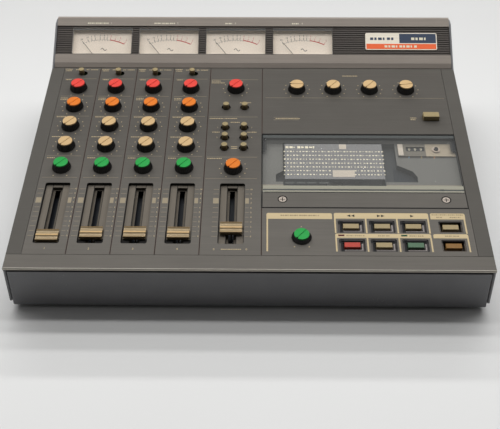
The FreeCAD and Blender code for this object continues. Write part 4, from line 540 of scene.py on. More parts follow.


# Anodised aluminium sheet, brushed along its length first: a warm dark grey with fine streaks and a broad
# sheen. Its colour is painted darker towards the back, a painted falloff of the sheen. Its cut edges and
# scored lines are painted dark as painted shade, and the bend along the front is painted lighter as a painted
# highlight, on a smoother and more metallic skin.
# Painted falloff of the sheen: where along y the colour starts and stops to darken, and the share left.
PAINTED_SHEEN_FALLOFF = (-0.16, 0.03, 0.7)
PANEL_METAL = Finish("brushed_anodised_aluminium", COLOURS["panel"], 0.5, metallic=0.3, grains=BRUSHED,
                     fade=PAINTED_SHEEN_FALLOFF, zones=(
    # Painted shade on the cut edges and scored lines.
    Zone(COLOURS["shadow"], up=(18.2, FAR), h=(-3.2, -0.12), roughness=0.7),
    # Painted highlight on the bend along the front, over a smoother and more metallic skin.
    Zone("#b7b1a6", up=(-3.0, 1.3), h=(-1.6, 1.0), roughness=0.3, metallic=0.7)))
# The bridge is the same metal left lighter, with a ribbed band painted dark and a printed badge plate.
BADGE_X, BADGE_UP, BADGE_HALF_WIDTH, BADGE_HALF_LENGTH = 171.6, 36.5, 41.2, 10.8
BRIDGE_METAL = Finish("brushed_bridge_aluminium", COLOURS["bridge"], 0.5, metallic=0.3, grains=BRUSHED,
                      zones=(
    Zone(COLOURS["band"], up=(18.72, 55.38), h=(-12.0, -0.7), roughness=0.55, face=BRIDGE),
    Zone(COLOURS["cream"], x=(BADGE_X - BADGE_HALF_WIDTH, BADGE_X + BADGE_HALF_WIDTH),
         up=(BADGE_UP - BADGE_HALF_LENGTH, BADGE_UP + BADGE_HALF_LENGTH), h=(-2.19, -0.55), roughness=0.35,
         face=BRIDGE)))
# Steel case in sprayed enamel: blue-black, half gloss, with a trace of orange peel.
CASE_ENAMEL = Finish("sprayed_enamel", COLOURS["enamel"], 0.2, ior=1.5, grains=(ORANGE_PEEL, CLOUDS))
# Side plates: enamel outside, brushed rails beside the panel, and nickelled screws at places (y, z).
CASE_SCREWS: tuple[Point, ...] = ((-155.0, 20.0), (-5.0, 20.0), (145.0, 20.0))
CHEEK_ENAMEL = Finish("enamelled_side_plate", COLOURS["enamel"], 0.3, grains=(HAIRLINES, CLOUDS), zones=(
    Zone("#57544f", up=(18.0, 360.0), h=(-1.9, 0.1), roughness=0.5, metallic=0.3),
    *(Zone(COLOURS["nickel"], x=x, up=(y - 3.5, y + 3.5), h=(z - 3.5, z + 3.5), roughness=0.35, metallic=1.0,
           face=LEVEL) for x in ((229.0, 229.95), (-229.95, -229.0)) for y, z in CASE_SCREWS)))
# Natural rubber: matt black with a fine bloom.
FOOT_RUBBER = Finish("moulded_rubber", "#1c1c1c", 0.85, ior=1.52, grains=(MOULD_TEXTURE, CLOUDS))
# Cast acrylic sheet: clear, with a faint haze of fine scratches under the gloss.
WINDOW_ACRYLIC = ClearFinish("cast_acrylic", "#b9bab6", 0.12, ior=ACRYLIC_IOR, grains=(CLOUDS,), haze=0.055)
METER_ACRYLIC = ClearFinish("meter_front_acrylic", "#dcdcd6", 0.1, ior=ACRYLIC_IOR, grains=(CLOUDS,),
                            haze=0.03)
# Printed polyester film: a grey ink screen that lets half of what is behind it through.
FILM = ClearFinish("printed_film", "#9b9c9d", 0.4, ior=1.5, grains=(FIBRE,), haze=0.5)
# Screen inks. The thin one lets the metal show through. The shade-line ink is painted shade beside the
# grooves and under the meters' hood strips, and the black shade ink is painted shade round the lid and under
# its window.
TAN_INK = ink("tan_screen_ink", COLOURS["ink"])
THIN_INK = ink("thin_screen_ink", "#8d826d")
# Painted shade, near black: the gap round the lid, and dark patches under its window.
BLACK_SHADE_INK = ink("painted_black_shade", "#171615")
# Painted shade: dark lines beside the grooves and under the meters' hood strips.
SHADE_LINE_INK = ink("painted_shade_line", "#54463f")
BLACK_INK = ink("black_screen_ink", "#1d1b19")
RED_INK = ink("red_screen_ink", "#c9302c")
PALE_INK = ink("pale_screen_ink", "#e8e1c8")
# Painted highlight and painted shade along the lid window's edges; the shade also lies over the rib gaps.
EDGE_HIGHLIGHT_PAINT = ink("painted_window_highlight", "#8e8c7e")
SHADE_PAINT = ink("window_shade_paint", "#474a49")
HEADER_INK = ink("header_ink", "#85775c")
HOOD_PAINT = ink("meter_hood_paint", "#8f9395")
FLAME_INK = ink("flame_screen_ink", COLOURS["flame"])
NAVY_INK = ink("navy_screen_ink", COLOURS["navy"])
# Uncoated paper: warm grey, with clouds in the pulp.
LABEL_PAPER = Finish("label_paper", "#c4bbad", 0.7, grains=(FIBRE, CLOUDS))
# Meter cases moulded in grey styrene, their front rims painted with the band.
METER_CASE = Finish("moulded_styrene_case", "#b0aea8", 0.45, ior=ABS_IOR, grains=MOULDED, zones=(
    Zone(COLOURS["band"], h=(-0.8, -0.6), roughness=0.5, face=BRIDGE),))
# Dial: printed card, warm white.
DIAL_CARD = Finish("printed_card", "#fff3e4", 0.7, grains=(FIBRE, CLOUDS))
# Small buttons in tan ABS, their lower part painted darker as painted shade down their sides.
TAN_SWITCH = Finish("tan_button_abs", COLOURS["button_tan"], 0.4, ior=ABS_IOR, grains=MOULDED, zones=(
    # Painted shade on everything below 3.6 mm.
    Zone("#65583f", h=(-20.0, 3.6), roughness=0.5),))
# Fader caps in metallised ABS: a dull gold sheen with fine scratches along the cap. The groove round the cap
# and the foot under it are painted dark as painted shade, and the crest of the ridge is painted lighter as a
# painted highlight.
FADER_ABS = Finish("metallised_abs", COLOURS["fader_tan"], 0.3, metallic=0.35,
                   grains=(Grain((12.0, 0.5, 0.5), contrast=0.08, relief=0.004), MOULD_DRIFT), zones=(
    # Painted shade in the groove round the cap.
    Zone("#17120d", h=(-1.47, -0.04), roughness=0.6),
    # Painted shade on the foot under the cap.
    Zone("#5d5443", h=(-2.8, -1.53), roughness=0.6),
    # Painted highlight on the crest of the ridge.
    Zone("#c2a374", h=(1.68, 2.1), roughness=0.3)))
FADER_XS = (-194.7, -152.64, -110.58, -68.52, -17.95)
KEY_ROWS = (31.6, 56.0)
KEY_COLUMNS = (98.1, 128.25, 158.4)
# Depth of the plates under the fader windows, and the two spans that both key groups share.
PLATE_H: Span = (-4.4, -1.0)
KEYS_UP: Span = (20.0, 66.0)
KEYS_X: Span = (84.0, 172.0)
LAMPS_UP: Span = (43.2, 45.6)
LAMPS_H: Span = (-4.0, 0.5)
# Window fillers in painted steel: a brushed plate under the faders, grey stepped frames round the keys, a
# brown frame round the deep wells, and a red and a green lamp. Painted light lies over them: a painted shadow
# in front of the channel faders' caps, painted shade along the edges of the fader windows and slots, the
# keys' ledges painted lighter as a painted highlight, and black painted shadow above each key and deep well
# and beside each key.
INSERT_PAINT = Finish("painted_insert_plate", "#6b645a", 0.45, metallic=0.3, grains=(LENGTHWISE, CLOUDS),
                      zones=(
    # Painted shadow of the channel faders' caps on the plate in front of them.
    Zone(COLOURS["shadow"], x=(-210.0, -50.0), up=(32.0, 40.5), h=PLATE_H, roughness=0.6),
    # Painted shade along both edges of each fader window and of its slot.
    *(Zone(COLOURS["shadow"], x=(x + near, x + far), up=(30.0, 118.0), h=PLATE_H, roughness=0.6)
      for x in FADER_XS for near, far in ((-12.8, -11.8), (-5.5, -4.8), (4.8, 5.3), (12.1, 12.8))),
    Zone("#4b4644", x=KEYS_X, up=KEYS_UP, h=(-6.0, -0.2), roughness=0.5),
    # Painted highlight on the keys' ledges.
    Zone("#8d8683", x=KEYS_X, up=KEYS_UP, h=(-1.4, -1.2), roughness=0.45),
    Zone("#4a433c", x=(182.0, 207.0), up=KEYS_UP, h=(-12.0, -0.2), roughness=0.5),
    # Painted shadow above each row of keys and deep wells.
    *(Zone(COLOURS["black"], x=(84.0, 205.4), up=(up + 3.25, up + 7.0), h=(-12.0, -0.25), roughness=0.5)
      for up in KEY_ROWS),
    # Painted shade beside each column of keys.
    *(Zone(COLOURS["black"], x=(x + near, x + far), up=KEYS_UP, h=(-6.0, -0.4), roughness=0.5)
      for x in KEY_COLUMNS for near, far in ((-10.9, -7.6), (10.9, 11.9))),
    Zone("#4d1217", x=(84.5, 91.6), up=LAMPS_UP, h=LAMPS_H, roughness=0.45),
    Zone("#0f3f27", x=(144.8, 151.9), up=LAMPS_UP, h=LAMPS_H, roughness=0.45)))
# Lid: brushed strip, black hinge arms and hoop, and nickelled screws. Its colour is painted darker towards
# the back as painted falloff of the sheen, and each screw's dark ring and crossed slots are painted shade.
LID_SCREWS = ((32.3, 93.0), (194.9, 93.0))
LID_METAL = Finish("brushed_lid_aluminium", COLOURS["panel"], 0.5, metallic=0.3, grains=BRUSHED,
                   fade=PAINTED_SHEEN_FALLOFF, zones=(
    Zone("#23262b", up=(102.4, 200.0), h=(-12.0, 1.0), roughness=0.5),
    Zone("#23262b", h=(-12.0, -2.7), roughness=0.5),
    # Painted shade in the ring round each screw head.
    *(RoundZone(COLOURS["shadow"], centre=centre, radius=4.9, roughness=0.6) for centre in LID_SCREWS),
    *(RoundZone("#c8bcb0", centre=centre, radius=3.75, roughness=0.42, metallic=0.5)
      for centre in LID_SCREWS),
    # Painted shade in each screw's crossed slots.
    *(Zone(COLOURS["shadow"], x=(x - wide, x + wide), up=(up - high, up + high), h=(-0.8, -0.6),
           roughness=0.6) for x, up in LID_SCREWS for wide, high in ((0.5, 2.75), (2.75, 0.5)))))
# Depth of the deck's upper surfaces, from its rim to the counter's plate.
DECK_TOP: Span = (-6.98, -5.5)
COUNTER_UP: Span = (162.7, 181.9)
# Tape deck in moulded ABS. In this order: the sunk floor, the finger bays, the pale step in front, the
# counter's plate and the beige half beside it, the reset button's collar, three coloured dots, the counter's
# window, the ribbed cover, the steel head plate, and the ribs' crowns.
DECK_ABS = Finish("moulded_deck_abs", COLOURS["deck"], 0.55, ior=ABS_IOR, grains=(MOULD_TEXTURE, CLOUDS),
                  zones=(
    Zone("#35393c", h=(-40.0, -7.6), roughness=0.5),
    Zone("#1d242c", x=(148.0, 172.0), up=(112.0, 150.0), h=(-15.0, -7.6), roughness=0.5),
    Zone("#2a2d31", x=(14.0, 34.5), up=(112.0, 150.0), h=(-15.0, -7.6), roughness=0.5),
    Zone("#8b8576", up=(112.0, 121.0), h=(-7.1, -6.9), roughness=0.5),
    Zone("#6a665c", x=(154.5, 183.9), up=COUNTER_UP, h=DECK_TOP, roughness=0.5),
    Zone(COLOURS["beige"], x=(183.9, 214.7), up=COUNTER_UP, h=DECK_TOP, roughness=0.5),
    RoundZone("#b3a596", centre=(195.0, 172.4), radius=4.5, roughness=0.45),
    *(RoundZone(colour, centre=(x, 162.0), radius=0.9, roughness=0.4)
      for colour, x in (("#86a8c4", 165.7), ("#c9b58a", 178.8), ("#d09a6c", 192.3))),
    Zone("#26282b", x=(163.4, 182.9), up=(170.3, 177.3), h=(-30.0, -6.2), roughness=0.4),
    Zone("#2f2f30", x=(60.0, 112.0), up=(145.0, 159.0), h=(-21.0, -10.0), roughness=0.4),
    Zone(COLOURS["steel"], x=(77.0, 94.0), up=(119.0, 128.0), h=(-20.4, -9.0), roughness=0.25, metallic=1.0),
    Zone("#7d786c", x=(34.4, 148.6), up=(108.4, 116.6), h=(-6.98, -5.0), roughness=0.5)))
# Connectors: a black plate and inlet, and bright nickelled nuts and shells that stand out of them.
CONNECTOR = Finish("nickel_plated_brass", "#2a2a2a", 0.4, grains=(MOULD_TEXTURE, CLOUDS), zones=(
    Zone(COLOURS["nickel"], x=(-200.0, 120.0), up=(175.02, 190.0), roughness=0.25, metallic=1.0,
         face=LEVEL),))
# Glass-fibre board inside the case, with the faders' slides, painted a bluish near black as painted shade
# down their slots, their tan covers and bright shafts.
CIRCUITS = Finish("glass_fibre_board", "#3d5a35", 0.5, grains=(FIBRE, MOULD_DRIFT), zones=(
    # Painted shade down the fader slots: the slides under them, near black.
    Zone("#14181e", x=(-210.0, 0.0), up=(28.0, 118.0), h=(-16.0, -6.26), roughness=0.35),
    Zone("#5a5349", x=(-210.0, 0.0), up=(28.0, 118.0), h=(-6.26, -4.4), roughness=0.45, metallic=0.3),
    Zone("#8b8c8a", h=(-3.2, 0.3), roughness=0.3, metallic=1.0)))


# ---------------------------------------------------------------- drawing pieces


def rounded(x: float, up: float, width: float, length: float, radius: float, steps: int = 4) -> list[Point]:
    """Outline of a rectangle with round corners, anticlockwise.

    Args:
        x, up: Its middle.
        width, length: Its sizes along x and up.
        radius: Corner radius.
        steps: Points along each corner.

    Returns:
        The outline's points.
    """
    outline = []
    corners = ((1, -1, -90), (1, 1, 0), (-1, 1, 90), (-1, -1, 180))
    for side, end, start in corners:
        middle_x = x + side * (width / 2 - radius)
        middle_up = up + end * (length / 2 - radius)
        for i in range(steps + 1):
            angle = math.radians(start + 90 * i / steps)
            outline.append((middle_x + radius * math.cos(angle), middle_up + radius * math.sin(angle)))
    return outline


def box_outline(x0: float, x1: float, up0: float, up1: float) -> list[Point]:
    """Outline of a plain rectangle between two corners, anticlockwise."""
    return [(x0, up0), (x1, up0), (x1, up1), (x0, up1)]


# Height of a figure as a share of its font's size.
FIGURE_SHARE = 0.72
# Widths of a legend's blocks and the room between them.
BLOCK_WIDTHS = (0.75, 1.1, 1.45, 1.8)
BLOCK_GAP = 0.45
# Uneven widths and gaps of a longer run, whose blocks are DASH_HEIGHT tall.
DASH_WIDTHS = (1.7, 1.2, 2.0, 0.9)
DASH_GAPS = (0.6, 0.8, 0.6, 1.3)
DASH_HEIGHT = 1.5
# Sharpest edge, in degrees, that is still shaded as a round one.
ROUND_EDGE = 35.0


class Draft:
    """Mesh of one piece, drawn in millimetres on a sloping face and kept in metres."""

    def __init__(self, face: SlopedFace) -> None:
        """Start an empty piece on a face."""
        self.face = face
        self.mesh = bmesh.new()

    def prism(self, outline: Sequence[Point], low: float, high: float) -> None:
        """Add a closed prism.

        Args:
            outline: Its anticlockwise outline.
            low, high: Heights of its two ends.
        """
        foot, top = ([self.mesh.verts.new(self.face.point(x, up, h)) for x, up in outline]
                     for h in (low, high))
        self.mesh.faces.new(foot[::-1])
        self.mesh.faces.new(top)
        for i in range(len(outline)):
            j = (i + 1) % len(outline)
            self.mesh.faces.new((foot[i], foot[j], top[j], top[i]))

    def ring(self, outer: Sequence[Point], inner: Sequence[Point], low: float, high: float) -> None:
        """Add a closed wall between two outlines with the same number of points.

        Args:
            outer, inner: The wall's anticlockwise outlines.
            low, high: Heights of its two ends.
        """
        rings = [[self.mesh.verts.new(self.face.point(x, up, h)) for x, up in outline]
                 for outline, h in ((outer, low), (outer, high), (inner, high), (inner, low))]
        for before, after in zip(rings, rings[1:] + rings[:1]):
            for i in range(len(outer)):
                j = (i + 1) % len(outer)
                self.mesh.faces.new((before[i], before[j], after[j], after[i]))

    def bar(self, x: Span, up: Span, low: float = 0.0, high: float = INK) -> None:
        """Add a rectangular slab over spans of x and up."""
        self.prism(box_outline(*x, *up), low, high)

    def disc(self, x: float, up: float, radius: float, low: float = 0.0, high: float = INK,
             sides: int = 14) -> None:
        """Add a short round column."""
        turns = [2 * math.pi * i / sides for i in range(sides)]
        self.prism([(x + radius * math.cos(turn), up + radius * math.sin(turn)) for turn in turns], low, high)

    def stroke(self, line: Sequence[Point], width: float, low: float = 0.0, high: float = INK) -> None:
        """Add a line of constant width through the given points.

        Args:
            line: Points along its middle.
            width: Its width.
            low, high: Heights of its two faces.
        """
        left, right = [], []
        for i, (x, up) in enumerate(line):
            x0, up0 = line[max(i - 1, 0)]
            x1, up1 = line[min(i + 1, len(line) - 1)]
            reach = width / 2 / math.hypot(x1 - x0, up1 - up0)
            across = (-(up1 - up0) * reach, (x1 - x0) * reach)
            left.append((x + across[0], up + across[1]))
            right.append((x - across[0], up - across[1]))
        self.prism(right + left[::-1], low, high)

    def figures(self, text: str, x: float, up: float, size: float, low: float = 0.0) -> None:
        """Add plain figures.

        Args:
            text: The figures.
            x, up: Middle of them.
            size: Their height.
            low: Height of the surface that they are printed on.
        """
        curve = bpy.data.curves.new("figures", "FONT")
        curve.body = text
        curve.size = size * MM / FIGURE_SHARE
        curve.align_x, curve.align_y = "CENTER", "CENTER"
        curve.extrude = INK * MM / 2
        curve.resolution_u = 2
        holder = bpy.data.objects.new("figures", curve)
        mesh = holder.to_mesh()
        mesh.transform(self.face.matrix(x, up, low + INK / 2))
        self.mesh.from_mesh(mesh)
        holder.to_mesh_clear()
        bpy.data.objects.remove(holder)
        bpy.data.curves.remove(curve)

    def dashes(self, x: float, up: float, widths: Iterable[float], height: float = 0.9) -> None:
        """Add a row of small blocks that stands where a legend would be.

        Args:
            x, up: Left end and middle line of the row.
            widths: Width of each block.
            height: Height of the blocks.
        """
        for width in widths:
            self.bar((x, x + width), (up - height / 2, up + height / 2))
            x += width + BLOCK_GAP

    def dash_run(self, x: Span, up: float, height: float = 0.9, low: float = 0.0) -> None:
        """Fill a span with uneven small blocks.

        Args:
            x: Span of the run.
            up: Middle line of the run.
            height: Height of the blocks.
            low: Height of the surface that they are printed on.
        """
        place, scale = x[0], height / DASH_HEIGHT
        for width, gap in itertools.cycle(zip(DASH_WIDTHS, DASH_GAPS)):
            if place >= x[1] - 0.5:
                break
            self.bar((place, min(place + width * scale, x[1])), (up - height / 2, up + height / 2),
                     low, low + INK)
            place += (width + gap) * scale

    def border(self, x: Span, up: Span, width: float, low: float = 0.0) -> None:
        """Add four flat lines along the inside of a rectangle.

        Args:
            x, up: Spans of the rectangle.
            width: Width of a line.
            low: Height of the surface that they are painted on.
        """
        for edge in ((x[0], x[0] + width), (x[1] - width, x[1])):
            self.bar(edge, up, low, low + INK)
        for edge in ((up[0], up[0] + width), (up[1] - width, up[1])):
            self.bar((x[0] + width, x[1] - width), edge, low, low + INK)

    def piece(self, name: str, finish: Finish, body: Body, slot: Slot) -> bpy.types.Object:
        """Turn the drawing into an object that rides on a body.

        Args:
            name: Name of the piece.
            finish: Its finish.
            body: Body that it moves with.
            slot: Not used.

        Returns:
            The finished object.
        """
        bmesh.ops.recalc_face_normals(self.mesh, faces=self.mesh.faces)
        data = bpy.data.meshes.new(name)
        self.mesh.to_mesh(data)
        self.mesh.free()
        data.shade_smooth()
        data.set_sharp_from_angle(angle=math.radians(ROUND_EDGE))
        data.materials.append(finish.material())
        obj = bpy.data.objects.new(name, data)
        bpy.context.scene.collection.objects.link(obj)
        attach(obj, body.value)
        LOG.info("piece %s on %s: %d faces", name, body.value, len(data.polygons))
        return obj


# ---------------------------------------------------------------- screen-printed marks


@dataclass(frozen=True)
class DialScale:
    """Dots printed round a rotary knob, from one end of its turn to the other.

    Attributes:
        radius: Distance of the dots from the shaft.
        dot: Radius of one dot.
        start: Angle of the first dot, in degrees from +x.
        step: Angle between dots.
        count: Dots on a full scale.
    """

    radius: float = 14.0
    dot: float = 0.55
    start: float = 240.0
    step: float = 30.0
    count: int = 11

    def draw(self, draft: Draft, x: float, up: float, ends_only: bool = False) -> None:
        """Add the dots.

        Args:
            draft: Drawing that they go into.
            x, up: The knob's shaft.
            ends_only: Leaves out all but the two end dots.
        """
        for i in (0, self.count - 1) if ends_only else range(self.count):
            angle = math.radians(self.start - self.step * i)
            draft.disc(x + self.radius * math.cos(angle), up + self.radius * math.sin(angle), self.dot)


@dataclass(frozen=True)
class FaderScale:
    """Ticks, reference blocks and figures beside a fader.

    Attributes:
        top: Place of the highest mark up the slope.
        pitch: Distance between marks.
        marks: Number of marks.
        left, right: Spans of the ticks on each side of the fader.
        block: Span of the reference blocks up the slope.
        figures, figure_height: Distance of the figures from the fader, and their height.
        width: Thickness of a tick.
    """

    top: float = 106.2
    pitch: float = 6.4
    marks: int = 11
    left: Span = (-18.8, -13.3)
    right: Span = (13.2, 16.8)
    block: Span = (86.4, 93.9)
    figures: float = 19.0
    width: float = 0.45
    figure_height: float = 2.0

    def draw(self, draft: Draft, thin: Draft, x: float) -> None:
        """Add the scale beside a fader.

        Args:
            draft: Drawing for the figures.
            thin: Drawing for the ticks and blocks.
            x: Middle of the fader.
        """
        for i in range(self.marks):
            up = self.top - self.pitch * i
            draft.figures(str(self.marks - 1 - i), x + self.figures, up, self.figure_height)
            if not self.block[0] < up < self.block[1]:
                for near, far in (self.left, self.right):
                    thin.bar((x + near, x + far), (up - self.width / 2, up + self.width / 2))
        for near, far in (self.left, self.right):
            thin.bar((x + near, x + far), self.block)


@dataclass(frozen=True)
class MixerMarks:
    """Tan screen print of the channels, the master section and the cue row.

    Attributes:
        first_x, pitch, channels: Places and number of the channels.
        master_x: Middle of the master fader.
        margin: Gap between a channel's rules and its grooves.
        rule: Thickness of a rule.
        channel_rules, master_rules: Places of the rules up the slope.
        full_scales, end_scales: Places of the knobs with full scales of dots and of those with end dots only.
        legends: Left end from the channel's middle, middle line and number of blocks of each legend.
        number_up, number_height: Middle line and height of the channels' numbers.
        master_rules_x: Span of the master section's rules from its fader.
        master_knobs: Places of its knobs up the slope.
        master_legends: Legends of the master section.
        button_numbers, button_height: Figures beside its buttons, their middles and their height.
        nought_xs, nought_height: Places and height of the noughts under the master fader.
        cue_xs, cue_up: Places of the cue knobs.
        tape_rules: Span and places up the slope of the rules round the tape section.
        tape_legends: Legends of the tape section.
        groove_up, groove_sides: Span of the grooves, and of the painted shade on both sides of one.
        section_x, bay_up: Place of the groove beside the tape section, and the span where it is cut away.
        bay_edges: Strips of painted shade round the cassette bay, along the gap round the lid.
        dial, fader: Scales of the knobs and faders.
    """

    first_x: float = -194.7
    pitch: float = 42.06
    channels: int = 4
    master_x: float = -17.95
    margin: float = 3.0
    rule: float = 0.36
    channel_rules: tuple[float, ...] = (283.8, 252.9, 218.7, 155.0, 122.7)
    master_rules: tuple[float, ...] = (283.1, 218.3, 154.1, 122.1)
    full_scales: tuple[float, ...] = (234.5, 202.2, 169.9)
    end_scales: tuple[float, ...] = (266.8, 137.6)
    legends: tuple[Row, ...] = (
        (-17.6, 249.4, 5), (-17.6, 246.8, 5), (-17.2, 217.4, 6), (-17.4, 185.0, 7), (-17.4, 152.0, 5),
        (-16.8, 282.2, 4), (-19.6, 301.2, 5), (-18.6, 298.4, 4), (-7.6, 300.4, 2), (4.6, 300.4, 2),
        (9.6, 300.4, 5))
    number_up: float = 25.6
    number_height: float = 2.6
    master_rules_x: Span = (-28.0, 24.5)
    master_knobs: tuple[float, float] = (266.8, 136.8)
    master_legends: tuple[Row, ...] = (
        (-45.6, 280.4, 6), (-45.6, 277.2, 9), (-13.1, 242.3, 7), (-45.5, 215.6, 9), (-29.2, 215.6, 8),
        (-22.6, 209.3, 6), (-41.7, 193.2, 5), (-4.4, 193.4, 6), (-21.0, 170.2, 4), (-21.0, 167.6, 4),
        (-45.2, 151.9, 9), (-26.9, 25.7, 11))
    button_numbers: tuple[tuple[str, float, float], ...] = (
        ("1", -36.2, 200.9), ("3", 0.3, 200.9), ("2", -36.3, 184.9), ("4", 0.3, 184.9))
    button_height: float = 1.7
    nought_xs: tuple[float, ...] = (-33.7, -2.7)
    nought_height: float = 2.4
    cue_xs: tuple[float, ...] = (50.0, 90.5, 131.0, 171.5)
    cue_up: float = 266.1
    tape_rules: tuple[tuple[Span, tuple[float, ...]], ...] = (
        ((15.0, 212.7), (251.2,)), ((23.9, 51.0), (213.8, 217.9)))
    tape_legends: tuple[Row, ...] = (
        (102.4, 290.4, 10), (26.2, 215.8, 15), (172.0, 217.6, 4), (172.0, 214.9, 3), (186.0, 224.6, 9))
    groove_up: Span = (18.6, 301.6)
    groove_sides: tuple[Span, Span] = ((-0.62, -0.32), (0.32, 0.62))
    section_x: float = 11.5
    bay_up: Span = (80.4, 191.2)
    bay_edges: tuple[Patch, ...] = (
        ((10.9, 11.46), (80.5, 191.1)), ((11.46, 215.2), (80.4, 81.05)), ((11.46, 215.2), (190.55, 191.3)))
    dial: DialScale = DialScale()
    fader: FaderScale = FaderScale()

    def channel_xs(self) -> list[float]:
        """Middle of each channel."""
        return [self.first_x + self.pitch * i for i in range(self.channels)]

    def legend(self, draft: Draft, x: float, up: float, count: int) -> None:
        """Add a row of blocks of uneven width in a legend's place."""
        draft.dashes(x, up, [BLOCK_WIDTHS[(3 * i + count) % 4] for i in range(count)])

    def rules(self, draft: Draft, x0: float, x1: float, places: Iterable[float]) -> None:
        """Add thin lines across a section."""
        for up in places:
            draft.bar((x0, x1), (up - self.rule / 2, up + self.rule / 2))

    def channel(self, draft: Draft, thin: Draft, number: int, x: float) -> None:
        """Add the marks of one channel.

        Args:
            draft: Drawing that they go into.
            thin: Drawing for the marks in the thin ink.
            number: Number printed under the fader.
            x: Middle of the channel.
        """
        half = self.pitch / 2 - self.margin
        self.rules(thin, x - half, x + half, self.channel_rules)
        for dx, up, count in self.legends:
            self.legend(draft, x + dx, up, count)
        for up in self.full_scales:
            self.dial.draw(draft, x, up)
        for up in self.end_scales:
            self.dial.draw(draft, x, up, ends_only=True)
        self.fader.draw(draft, thin, x)
        draft.figures(str(number), x, self.number_up, self.number_height)

    def master(self, draft: Draft, thin: Draft) -> None:
        """Add the marks of the master section.

        Args:
            draft: Drawing that they go into.
            thin: Drawing for the marks in the thin ink.
        """
        x = self.master_x
        self.rules(thin, x + self.master_rules_x[0], x + self.master_rules_x[1], self.master_rules)
        for up in self.master_knobs:
            self.dial.draw(draft, x, up)
        self.fader.draw(draft, thin, x)
        for left, up, count in self.master_legends:
            self.legend(draft, left, up, count)
        for figure, middle, up in self.button_numbers:
            draft.figures(figure, middle, up, self.button_height)
        for middle in self.nought_xs:
            draft.figures("0", middle, self.number_up, self.nought_height)

    def tape_section(self, draft: Draft, thin: Draft) -> None:
        """Add the marks above the cassette bay.

        Args:
            draft: Drawing that they go into.
            thin: Drawing for the marks in the thin ink.
        """
        for (x0, x1), places in self.tape_rules:
            self.rules(thin, x0, x1, places)
        for x in self.cue_xs:
            self.dial.draw(draft, x, self.cue_up)
        for left, up, count in self.tape_legends:
            self.legend(draft, left, up, count)

    def edges(self) -> list[bpy.types.Object]:
        """Paint shade beside the panel's grooves and round the edges of the lid's opening.

        Returns:
            The pieces of paint.
        """
        grooves, edge = Draft(PANEL), Draft(PANEL)
        low, high = self.groove_up
        spans = [(x + self.pitch / 2, self.groove_up) for x in self.channel_xs()]
        spans += [(self.section_x, (low, self.bay_up[0])), (self.section_x, (self.bay_up[1], high))]
        for x, up in spans:
            for near, far in self.groove_sides:
                # Painted shade on both sides of the groove.
                grooves.bar((x + near, x + far), up)
        for x, up in self.bay_edges:
            # Painted shade along the gap round the cassette bay.
            edge.bar(x, up)
        return [grooves.piece("groove_shades", SHADE_LINE_INK, Body.CHASSIS, Slot.BLACK_PLASTIC),
                edge.piece("bay_gap_shade", BLACK_SHADE_INK, Body.CHASSIS, Slot.BLACK_PLASTIC)]

    def build(self) -> list[bpy.types.Object]:
        """Draw all marks.

        Returns:
            The finished pieces.
        """
        channels, others, thin = Draft(PANEL), Draft(PANEL), Draft(PANEL)
        for number, x in enumerate(self.channel_xs(), 1):
            self.channel(channels, thin, number, x)
        self.master(others, thin)
        self.tape_section(others, thin)
        return [channels.piece("channel_marks", TAN_INK, Body.CHASSIS, Slot.TAN_PLASTIC),
                others.piece("section_marks", TAN_INK, Body.CHASSIS, Slot.TAN_PLASTIC),
                thin.piece("rules_and_ticks", THIN_INK, Body.CHASSIS, Slot.TAN_PLASTIC), *self.edges()]


